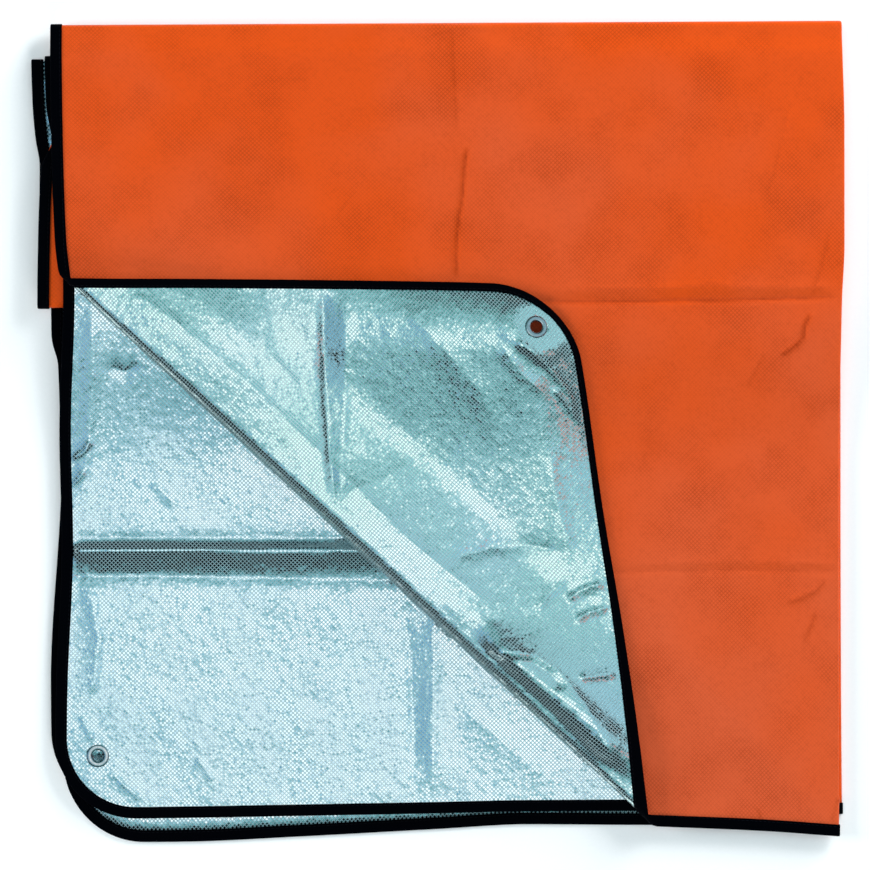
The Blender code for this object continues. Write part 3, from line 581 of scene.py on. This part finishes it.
def edgeStations():  # points round the sheet's edge in the flat, with the way in from each
    radius, half = fold["cornerRadius"], fold["halfWidth"]
    step = binding["step"] * mm
    along, at = [], radius
    for index, stop in enumerate([*runStarts[1:], flatLength - radius]):
        cell = bendLength / binding["bendSteps"] if index % 2 else step
        along.append(spaced(at, stop, cell)[:-1])
        at = stop
    along = np.concatenate(along)
    flat = spaced(radius - half, -tipArc, step)[:-1]
    across = np.concatenate([flat, spaced(-tipArc, tipArc, tipArc / 3), -flat[:0:-1]])
    turns = np.linspace(0, math.pi / 2, binding["cornerSteps"], endpoint=False)
    stations = []
    for side, end, first, straight in (  # each corner, where its turn starts, and the straight run after it
        (1, -1, -math.pi / 2, [(half, v, -1, 0) for v in along]),
        (1, 1, 0.0, [(s, flatLength, 0, -1) for s in across[::-1]]),
        (-1, 1, math.pi / 2, [(-half, v, 1, 0) for v in along[::-1]]),
        (-1, -1, math.pi, [(s, 0, 0, 1) for s in across]),
    ):
        centre = np.array([side * (half - radius), flatLength / 2 + end * (flatLength / 2 - radius)])
        for turn in turns:
            out = np.array([math.cos(first + turn), math.sin(first + turn)])
            stations.append((*(centre + radius * out), *-out))
        stations += straight
    return np.array(stations)


def reachAt(s, v):  # how far the tape reaches in over the silver face: it is narrower on the turned-up corner
    if s > 0 or v > fold["frontPanel"]:
        return fold["tapeWidth"] - tapeEdge
    fromSide = (s + fold["halfWidth"]) / mm
    if v / mm < fromSide:
        return np.interp(fromSide, *binding["besideFront"]) * mm
    return np.interp(v / mm, *binding["besideSide"]) * mm


def bindingProfile(silverReach):  # the tape's section: distance in from the sheet's edge, and height
    reach = fold["tapeWidth"] - tapeEdge
    slot, outside, lip, lipRun = (binding[key] * mm for key in ("slot", "outside", "lip", "lipRun"))
    outer, under = [], []
    for points, width, way in ((outer, reach, 1), (under, silverReach, -1)):
        points += [(width, way * (outside - lip)), (width - lipRun, way * outside)]
        points += [(width * share, way * outside) for share in binding["flats"]]
    folded = []
    for step in range(binding["roundSteps"] + 1):
        angle = math.pi / 2 - math.pi * step / binding["roundSteps"]
        inset = binding["fold"] * mm - binding["bulge"] * mm * math.cos(angle)
        folded.append((inset, outside * math.sin(angle)))
    nip = slot * binding["nip"]
    inner = [(silverReach, -slot), (silverReach / 2, -slot), (-lip, -nip), (-lip, nip), (reach / 2, slot),
             (reach, slot)]
    return outer + folded + under[::-1] + inner


def addFolded(name, shape):  # folds a finished flat shape and puts it in the scene
    mesh = bpy.data.meshes.new(name)
    shape.to_mesh(mesh)
    shape.free()
    foldMesh(mesh)
    return addObject(name, mesh)


def makeTapeRing(stations):
    shape = bmesh.new()
    layer = shape.loops.layers.uv.new("flat")
    steps = np.linalg.norm(np.diff(stations[:, :2], axis=0, append=stations[:1, :2]), axis=1)
    along = np.append(0, np.cumsum(steps))
    profile = bindingProfile(fold["tapeWidth"] - tapeEdge)
    girth = np.append(0, np.cumsum([math.dist(a, b) for a, b in zip(profile, profile[1:] + profile[:1])]))
    rings = []
    for s, v, inS, inV in stations:
        section = bindingProfile(reachAt(s, v))
        rings.append([shape.verts.new((s + inset * inS, v + inset * inV, height)) for inset, height in section])
    for i, ring in enumerate(rings):
        following = rings[(i + 1) % len(rings)]
        for j in range(len(profile)):
            k = (j + 1) % len(profile)
            face = shape.faces.new((ring[j], following[j], following[k], ring[k]))
            face.smooth = True
            corners = ((along[i], girth[j]), (along[i + 1], girth[j]), (along[i + 1], girth[j + 1]),
                       (along[i], girth[j + 1]))
            for loop, uv in zip(face.loops, corners):
                loop[layer].uv = uv
    bmesh.ops.recalc_face_normals(shape, faces=shape.faces)
    return addFolded("binding_tape", shape)


def makeStitches(stations):  # one short thread on each face of the tape, again and again
    reach = np.array([[reachAt(s, v)] for s, v in stations[:, :2]])
    line = stations[:, :2] + (reach - stitching["inset"] * mm) * stations[:, 2:]
    steps = np.linalg.norm(np.diff(line, axis=0, append=line[:1]), axis=1)
    along = np.append(0, np.cumsum(steps))
    loop = np.vstack([line, line[:1]])
    count = round(along[-1] / (stitching["step"] * mm))
    radius, length, sides = stitching["radius"] * mm, stitching["length"] * mm, stitching["sides"]
    ends = (stitching["taper"], stitching["lift"] - stitching["sunk"])
    shape = bmesh.new()
    for index in range(count):
        middle = (index + 0.5) * along[-1] / count
        at = np.clip([middle - length / 2, middle, middle + length / 2], 0, along[-1])
        points = np.stack([np.interp(at, along, loop[:, k]) for k in (0, 1)], axis=1)
        run = points[2] - points[0]
        if np.linalg.norm(run) < length / 2:  # where the ring's start would cut one short
            continue
        run /= np.linalg.norm(run)
        for face in (-1, 1):
            rings = []
            for (s, v), (swell, lift) in zip(points, (ends, (1.0, stitching["lift"]), ends)):
                height = face * (binding["outside"] * mm + radius * lift)
                ring = []
                for turn in range(sides):
                    angle = math.tau * turn / sides
                    out, up = radius * swell * math.cos(angle), radius * swell * math.sin(angle)
                    ring.append(shape.verts.new((s - run[1] * out, v + run[0] * out, height + up)))
                rings.append(ring)
            for first, second in zip(rings, rings[1:]):
                for turn in range(sides):
                    after = (turn + 1) % sides
                    shape.faces.new((first[turn], second[turn], second[after], first[after]))
            shape.faces.new(rings[0])
            shape.faces.new(rings[2][::-1])
    bmesh.ops.recalc_face_normals(shape, faces=shape.faces)
    for face in shape.faces:
        face.smooth = True
    return addFolded("binding_stitches", shape)


# the eyelets
eyelet = dict(rimRadius=8.5, rimTube=2.5, rimHeight=1.0, barrelRadius=6.35, barrelLength=1.9, wall=0.5,  # mm
              rimFlat=0.25, sides=56, rimSides=16)  # the share of its height that a rim is pressed to


def makeEyelet():  # two rolled rims joined by the barrel, made lying flat at the origin
    parts = []
    for side in (-1, 1):
        bpy.ops.mesh.primitive_torus_add(major_radius=eyelet["rimRadius"] * mm, minor_radius=eyelet["rimTube"] * mm,
                                         major_segments=eyelet["sides"], minor_segments=eyelet["rimSides"],
                                         location=(0, 0, side * eyelet["rimHeight"] * mm))
        rim = bpy.context.object
        bpy.ops.object.mode_set(mode="EDIT")
        bpy.ops.mesh.select_all(action="SELECT")
        bpy.ops.transform.resize(value=(1, 1, eyelet["rimFlat"]), center_override=rim.location)
        bpy.ops.object.mode_set(mode="OBJECT")
        parts.append(rim)
    bpy.ops.mesh.primitive_cylinder_add(vertices=eyelet["sides"], radius=eyelet["barrelRadius"] * mm,
                                        end_fill_type="NOTHING", depth=eyelet["barrelLength"] * mm)
    barrel = bpy.context.object
    wall = barrel.modifiers.new("wall", "SOLIDIFY")
    wall.thickness = eyelet["wall"] * mm
    wall.offset = 0
    selectOnly(barrel)
    bpy.ops.object.modifier_apply(modifier=wall.name)
    parts.append(barrel)
    for part in parts:
        part.select_set(True)
    bpy.context.view_layer.objects.active = barrel
    bpy.ops.object.join()
    master = bpy.context.object
    bpy.ops.object.transform_apply(location=True, rotation=True, scale=True)
    bpy.ops.object.shade_smooth_by_angle(angle=math.radians(40))
    return master


def placeEyelet(master, name, spot):  # a copy set in its hole, its axis square to the cloth
    low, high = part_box(name)
    piece = addObject(name + "_ring", master.data.copy())
    normal = Vector(orangeNormal(np.array([spot[0]]), np.array([spot[1]]))[0])
    turned = normal.to_track_quat("Z", "X").to_matrix().to_4x4()
    piece.data.transform(Matrix.Translation((low + high) / 2) @ turned)
    return piece


def linear(code):  # an sRGB hex value as linear colour
    channels = [int(code[i:i + 2], 16) / 255 for i in (0, 2, 4)]
    return (*[c / 12.92 if c <= 0.04045 else ((c + 0.055) / 1.055) ** 2.4 for c in channels], 1.0)


def fill(tree, node, inputs):  # inputs as values, or links from sockets or nodes' first outputs
    for key, value in inputs.items():
        if isinstance(value, bpy.types.Node):
            value = value.outputs[0]
        if isinstance(value, bpy.types.NodeSocket):
            tree.links.new(value, node.inputs[key])
        else:
            node.inputs[key].default_value = value


def add(tree, kind, inputs=None, **settings):  # one node with its settings and inputs
    made = tree.nodes.new("ShaderNode" + kind)
    for key, value in settings.items():
        setattr(made, key, value)
    fill(tree, made, inputs or {})
    return made


def newMaterial(name):  # the material, its node tree and its shader
    material = bpy.data.materials.new(name)
    material.use_nodes = True
    return material, material.node_tree, material.node_tree.nodes["Principled BSDF"]


scrim = dict(pitch=2.85, core=0.05, rim=0.18)  # mm between threads, and shares of it from a thread's middle


def scrimWays(tree):  # the place on the flat sheet, and how many threads lie before it both ways
    flat = add(tree, "UVMap", uv_map="flat")
    place = add(tree, "SeparateXYZ", {0: flat})
    ways = []
    for kind in ("ADD", "SUBTRACT"):
        way = add(tree, "Math", {0: place.outputs[0], 1: place.outputs[1]}, operation=kind)
        pitch = math.sqrt(2) * scrim["pitch"] * mm  # the threads lie at 45 degrees to the sheet
        ways.append(add(tree, "Math", {0: way, 1: 1 / pitch}, operation="MULTIPLY"))
    return flat, place, ways


def scrimThreads(tree, ways):  # 1 on the diagonal threads and 0 in the windows between them
    threads = []
    for way in ways:
        away = add(tree, "Math", {0: way, 1: 0.5}, operation="PINGPONG")
        threads.append(add(tree, "MapRange", {0: away, 1: scrim["core"], 2: scrim["rim"], 3: 1.0, 4: 0.0},
                           interpolation_type="SMOOTHSTEP"))
    return add(tree, "Math", {0: threads[0], 1: threads[1]}, operation="MAXIMUM")


def windowTilt(tree, ways):  # each window between the threads leans its own way
    index = [add(tree, "Math", {0: way}, operation="FLOOR") for way in ways]
    cell = add(tree, "CombineXYZ", {0: index[0], 1: index[1]})
    random = add(tree, "TexWhiteNoise", {"Vector": cell}, noise_dimensions="3D").outputs["Color"]
    chances = add(tree, "SeparateXYZ", {0: random})
    tilts = []
    for way, chance in zip(ways, chances.outputs):
        share = add(tree, "Math", {0: way}, operation="FRACT")
        share = add(tree, "Math", {0: share, 1: 0.5}, operation="SUBTRACT")
        lean = add(tree, "Math", {0: chance, 1: 0.5}, operation="SUBTRACT")
        tilts.append(add(tree, "Math", {0: lean, 1: share}, operation="MULTIPLY"))
    return add(tree, "Math", {0: tilts[0], 1: tilts[1]}, operation="ADD")


def total(tree, terms):  # the sum of several heights, each with its own size
    result = None
    for value, size in terms:
        scaled = add(tree, "Math", {0: value, 1: size}, operation="MULTIPLY")
        result = scaled if result is None else add(tree, "Math", {0: result, 1: scaled}, operation="ADD")
    return result


def clouds(tree, vector, size, detail=2.0):  # soft noise of a size in mm, about 0
    made = add(tree, "TexNoise", {"Vector": vector, "Scale": 1 / (size * mm), "Detail": detail, "Roughness": 0.5})
    return add(tree, "Math", {0: made, 1: 0.5}, operation="SUBTRACT")


def blend(tree, share, first, second):  # two colours, each a value or a link
    return add(tree, "Mix", {0: share, 6: first, 7: second}, data_type="RGBA").outputs[2]


metallised = dict(colour="EEF8FA", thread="BEDFE5", castFrom=-0.05, castTo=0.30,  # sizes and heights in mm
                  green="DFF6ED", greenSize=190, greenDrift=(-0.5, -0.25),
                  blue="E2F1F6", blueSize=140, blueDrift=(0.25,),
                  windowRoughness=0.10, threadRoughness=0.48, threadMetal=0.65, threadHeight=0.045,
                  windowTilt=0.25, crumple=0.58, crumpleSize=9, wave=1.6, waveSize=60)


def makeMetallised():  # vacuum-metallised film over a scrim: flat mirror windows between raised satin threads
    material, tree, shader = newMaterial("metallised film over scrim")
    flat, place, ways = scrimWays(tree)
    threads = scrimThreads(tree, ways)
    height = total(tree, [
        (threads, metallised["threadHeight"] * mm), (windowTilt(tree, ways), metallised["windowTilt"] * mm),
        (clouds(tree, flat, metallised["crumpleSize"], 3), metallised["crumple"] * mm),
        (clouds(tree, flat, metallised["waveSize"]), metallised["wave"] * mm),
    ])
    bump = add(tree, "Bump", {"Height": height, "Distance": 1.0, "Strength": 1.0})
    tint = linear(metallised["colour"])
    for key in ("green", "blue"):
        # each cast is patchy at random and drifts across the sheet, greener towards the upper layer and the front
        # end, bluer towards the lower layer: that drift is a painted reflection
        drift = (clouds(tree, flat, metallised[key + "Size"]), place.outputs[0], place.outputs[1])
        cast = total(tree, zip(drift, (1.0, *metallised[key + "Drift"])))
        share = add(tree, "MapRange", {0: cast, 1: metallised["castFrom"], 2: metallised["castTo"]})
        tint = blend(tree, share, tint, linear(metallised[key]))
    tint = blend(tree, threads, tint, linear(metallised["thread"]))
    rough = add(tree, "MapRange", {0: threads, 3: metallised["windowRoughness"], 4: metallised["threadRoughness"]})
    metal = add(tree, "MapRange", {0: threads, 3: 1.0, 4: metallised["threadMetal"]})
    fill(tree, shader, {"Base Color": tint, "Metallic": metal, "Roughness": rough, "Normal": bump})
    return material


orange = dict(colour="DA4E12", pale="D45931", paleSize=260, sheenDrift=-0.5, dark="A03206", roughness=0.45,
              shine=0.15, threadHeight=0.14, flatThreads=0.4, patchSize=90, grain=0.10, grainSize=1.6,
              wave=1.2, waveSize=85, crumple=0.15, crumpleSize=14,
              # shares darkening the threads, the worn spots and patches, and last the painted crease shade
              wornSizes=(5, 45), shadeAndWearShares=(0.40, 0.20, 0.50, 0.35, 0.80))


def makeOrange():  # extruded polyethylene film: satin, the scrim showing faintly through it, darker where worn and with painted shade in its creases, and paler towards the front end with a painted sheen
    material, tree, shader = newMaterial("orange polyethylene film")
    flat, place, ways = scrimWays(tree)
    threads = scrimThreads(tree, ways)
    patch = add(tree, "MapRange", {0: clouds(tree, flat, orange["patchSize"], 3), 1: -0.05, 2: 0.18})
    shown = add(tree, "Math", {0: threads, 1: patch}, operation="MULTIPLY")
    height = total(tree, [
        (threads, orange["flatThreads"] * orange["threadHeight"] * mm), (shown, orange["threadHeight"] * mm),
        (clouds(tree, flat, orange["grainSize"]), orange["grain"] * mm),
        (clouds(tree, flat, orange["crumpleSize"], 3), orange["crumple"] * mm),
        (clouds(tree, flat, orange["waveSize"]), orange["wave"] * mm),
    ])
    bump = add(tree, "Bump", {"Height": height, "Distance": 1.0, "Strength": 1.0})
    # random mottle, and a painted sheen that pales the orange towards the front end
    sheenAndMottle = total(tree, [(clouds(tree, flat, orange["paleSize"], 3), 1.0), (place.outputs[1], orange["sheenDrift"])])
    pale = add(tree, "MapRange", {0: sheenAndMottle, 1: -0.40, 2: -0.02})
    tint = blend(tree, pale, linear(orange["colour"]), linear(orange["pale"]))
    # painted shade along the orange creases, kept on the mesh
    creaseShade = add(tree, "Attribute", attribute_name="shadeAndWear").outputs["Fac"]
    spots, patches = [clouds(tree, flat, size, 4) for size in orange["wornSizes"]]
    shadeAndWear = total(tree, zip((shown, threads, spots, patches, creaseShade), orange["shadeAndWearShares"]))
    fill(tree, shader, {"Base Color": blend(tree, shadeAndWear, tint, linear(orange["dark"])), "Normal": bump,
                        "Roughness": orange["roughness"], "Specular IOR Level": orange["shine"]})
    return material


tapeFinish = dict(colour="000103", light="040409", lightShare=1.2, roughness=0.9, shine=0.05,
                  rib=1.3, ribHeight=0.12, nap=0.15, napSize=2.4)


def makeTape():  # black woven polyester tape: matt, with fine ribs across it, drawn a little coarse so that they show
    material, tree, shader = newMaterial("black woven polyester tape")
    flat = add(tree, "UVMap", uv_map="flat")
    place = add(tree, "SeparateXYZ", {0: flat})
    way = add(tree, "Math", {0: place.outputs[0], 1: 1 / (tapeFinish["rib"] * mm)}, operation="MULTIPLY")
    rib = add(tree, "Math", {0: way, 1: 0.5}, operation="PINGPONG")
    height = total(tree, [(rib, 2 * tapeFinish["ribHeight"] * mm),
                          (clouds(tree, flat, tapeFinish["napSize"]), tapeFinish["nap"] * mm)])
    bump = add(tree, "Bump", {"Height": height, "Distance": 1.0, "Strength": 1.0})
    share = add(tree, "Math", {0: rib, 1: tapeFinish["lightShare"]}, operation="MULTIPLY")
    colour = blend(tree, share, linear(tapeFinish["colour"]), linear(tapeFinish["light"]))
    fill(tree, shader, {"Base Color": colour, "Normal": bump,
                        "Roughness": tapeFinish["roughness"], "Specular IOR Level": tapeFinish["shine"]})
    return material


threadFinish = dict(colour="050407", light="100E14", fuzzSize=0.8, roughness=0.7, shine=0.25)


def makeThread():  # black spun polyester thread: a little brighter than the tape, with a soft fuzz
    material, tree, shader = newMaterial("black polyester thread")
    place = add(tree, "TexCoord").outputs["Object"]
    fuzz = add(tree, "MapRange", {0: clouds(tree, place, threadFinish["fuzzSize"]), 1: -0.3, 2: 0.3})
    colour = blend(tree, fuzz, linear(threadFinish["colour"]), linear(threadFinish["light"]))
    fill(tree, shader, {"Base Color": colour, "Roughness": threadFinish["roughness"],
                        "Specular IOR Level": threadFinish["shine"]})
    return material


plating = dict(colour="D9DADB", dull="BFC0C2", markSize=1.1, markDepth=0.05, markStrength=0.6,
               roughness=(0.18, 0.32))


def makePlated():  # stamped brass, nickel plated and tumbled: bright, with fine marks
    material, tree, shader = newMaterial("nickel-plated brass")
    place = add(tree, "TexCoord").outputs["Object"]
    marks = clouds(tree, place, plating["markSize"], 4)
    bump = add(tree, "Bump", {"Height": marks, "Distance": plating["markDepth"] * mm,
                              "Strength": plating["markStrength"]})
    share = add(tree, "MapRange", {0: marks, 1: -0.2, 2: 0.2})
    colour = blend(tree, share, linear(plating["colour"]), linear(plating["dull"]))
    bright, dull = plating["roughness"]
    rough = add(tree, "MapRange", {0: share, 3: bright, 4: dull})
    fill(tree, shader, {"Base Color": colour, "Metallic": 1.0, "Roughness": rough, "Normal": bump})
    return material


# making and placing the pieces
bpy.ops.object.select_all(action="DESELECT")
foil = makeSheet()
foil.data.materials.append(makeOrange())
foil.data.materials.append(makeMetallised())
finishPiece(foil)
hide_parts("blanket_sheet")
print("sheet folded")

stations = edgeStations()
tape = makeTapeRing(stations)
tape.data.materials.append(makeTape())
finishPiece(tape)
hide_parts("edge_binding")
stitches = makeStitches(stations)
stitches.data.materials.append(makeThread())
finishPiece(stitches)
print("binding sewn on")

plated = makePlated()
master = makeEyelet()
rings = []
for name, spot in eyelets.items():
    ring = placeEyelet(master, name, spot)
    ring.data.materials.append(plated)
    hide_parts(name)
    rings.append(ring)
bpy.data.objects.remove(master, do_unlink=True)
print("eyelets set")

for piece in (foil, tape, stitches, *rings):
    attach(piece, "root")

# floor, light and camera
studio = dict(
    floor=30.0, cameraHeight=8.0, lampSize=1.9, clipEnd=60.0,  # metres
    width=852.6, centreX=-2.7, centreY=-3.4, subject=22, sensor=36.0,  # mm: what the picture takes in, and how high
    paper=("FFFFFF", "FCFCFC"), paperGrain=3.0, paperRoughness=0.9, paperShine=0.2,  # the floor
    lamps={"key": ((2.4, 2.4, 1.35), 168), "left": ((-3.0, 0.3, 1.3), 92), "front": ((0.5, -3.1, 1.3), 70)},  # watts
)

bpy.ops.mesh.primitive_plane_add(size=studio["floor"], location=(0, 0, 0))
floor = bpy.context.object
floor.name = "floor"
paper, tree, shader = newMaterial("matt white paper")
place = add(tree, "TexCoord").outputs["Object"]
grain = add(tree, "MapRange", {0: clouds(tree, place, studio["paperGrain"]), 1: -0.3, 2: 0.3})
fill(tree, shader, {"Base Color": blend(tree, grain, *map(linear, studio["paper"])),
                    "Roughness": studio["paperRoughness"], "Specular IOR Level": studio["paperShine"]})
floor.data.materials.append(paper)

room = dict(  # what the silver mirrors, in degrees: ways round from +x, and angles off straight up
    overhead=(45, 5), level=(1.20, 1.44), shadeScale=3.0,
    bands=[  # angle off the brightest way, colour
        (0, "FFFFFF"), (9, "FAFDFF"), (14, "94C2CC"), (23, "679EA4"), (32, "447678"), (40, "203E44"),
        (52, "0C161A"), (90, "1A282E"),
    ],
    zones=[  # way round, angle off, full within, ends at, colour
        (-90, 44, 12, 17, "02090D"),
        (-140, 44, 17, 22, "02090D"),
        (180, 24, 8, 16, "6F9DBB"),
        (-152, 25, 6, 11, "7CA6BE"),
        (33, 45, 15, 22, "93BBC9"),
        (-8, 26, 6, 11, "86B4CC"),
        (-14, 33, 5, 9, "C08C8C"),
    ],
)


def towards(way, off):
    way, off = math.radians(way), math.radians(off)
    return Vector((math.cos(way) * math.sin(off), math.sin(way) * math.sin(off), math.cos(off)))


def angleFrom(tree, direction, way, off):  # how far each direction lies from one of them, in degrees
    lean = add(tree, "VectorMath", {0: direction, 1: towards(way, off)}, operation="DOT_PRODUCT").outputs["Value"]
    angle = add(tree, "Math", {0: lean}, operation="ARCCOSINE")
    return add(tree, "Math", {0: angle, 1: 180 / math.pi}, operation="MULTIPLY")


world = bpy.data.worlds.new("soft room")
bpy.context.scene.world = world
world.use_nodes = True
tree = world.node_tree
direction = add(tree, "TexCoord").outputs["Generated"]
share = add(tree, "Math", {0: angleFrom(tree, direction, *room["overhead"]), 1: 90.0}, operation="DIVIDE")
ramp = add(tree, "ValToRGB", {0: share})
elements = ramp.color_ramp.elements
for angle, code in room["bands"]:
    element = {0: elements[0], 90: elements[-1]}.get(angle) or elements.new(angle / 90)
    element.color = linear(code)
light = ramp
for way, off, inner, outer, code in room["zones"]:
    away = angleFrom(tree, direction, way, off)
    within = add(tree, "MapRange", {0: away, 1: inner, 2: outer, 3: 1.0, 4: 0.0}, interpolation_type="SMOOTHSTEP")
    light = blend(tree, within, light, linear(code))
shade = add(tree, "TexNoise", {"Vector": direction, "Scale": room["shadeScale"], "Detail": 2.0}).outputs["Fac"]
level = add(tree, "MapRange", {0: shade, 1: 0.3, 2: 0.7, 3: room["level"][0], 4: room["level"][1]})
fill(tree, tree.nodes["Background"], {"Color": light, "Strength": level})

for name, (where, power) in studio["lamps"].items():
    lamp = bpy.data.lights.new(name, "AREA")
    lamp.size = studio["lampSize"]
    lamp.energy = power
    lampObject = addObject(name, lamp)
    lampObject.location = where
    lampObject.visible_glossy = False  # the silver mirrors the room alone
    lampObject.rotation_euler = (-Vector(where)).to_track_quat("-Z", "Y").to_euler()

view = bpy.data.cameras.new("camera")
viewObject = addObject("camera", view)
viewObject.location = (studio["centreX"] * mm, studio["centreY"] * mm, studio["cameraHeight"])
view.sensor_width = studio["sensor"]
view.lens = view.sensor_width * (studio["cameraHeight"] - studio["subject"] * mm) / (studio["width"] * mm)
view.clip_end = studio["clipEnd"]
bpy.context.scene.camera = viewObject
bpy.context.scene.view_settings.view_transform = "Standard"
print("studio lit")
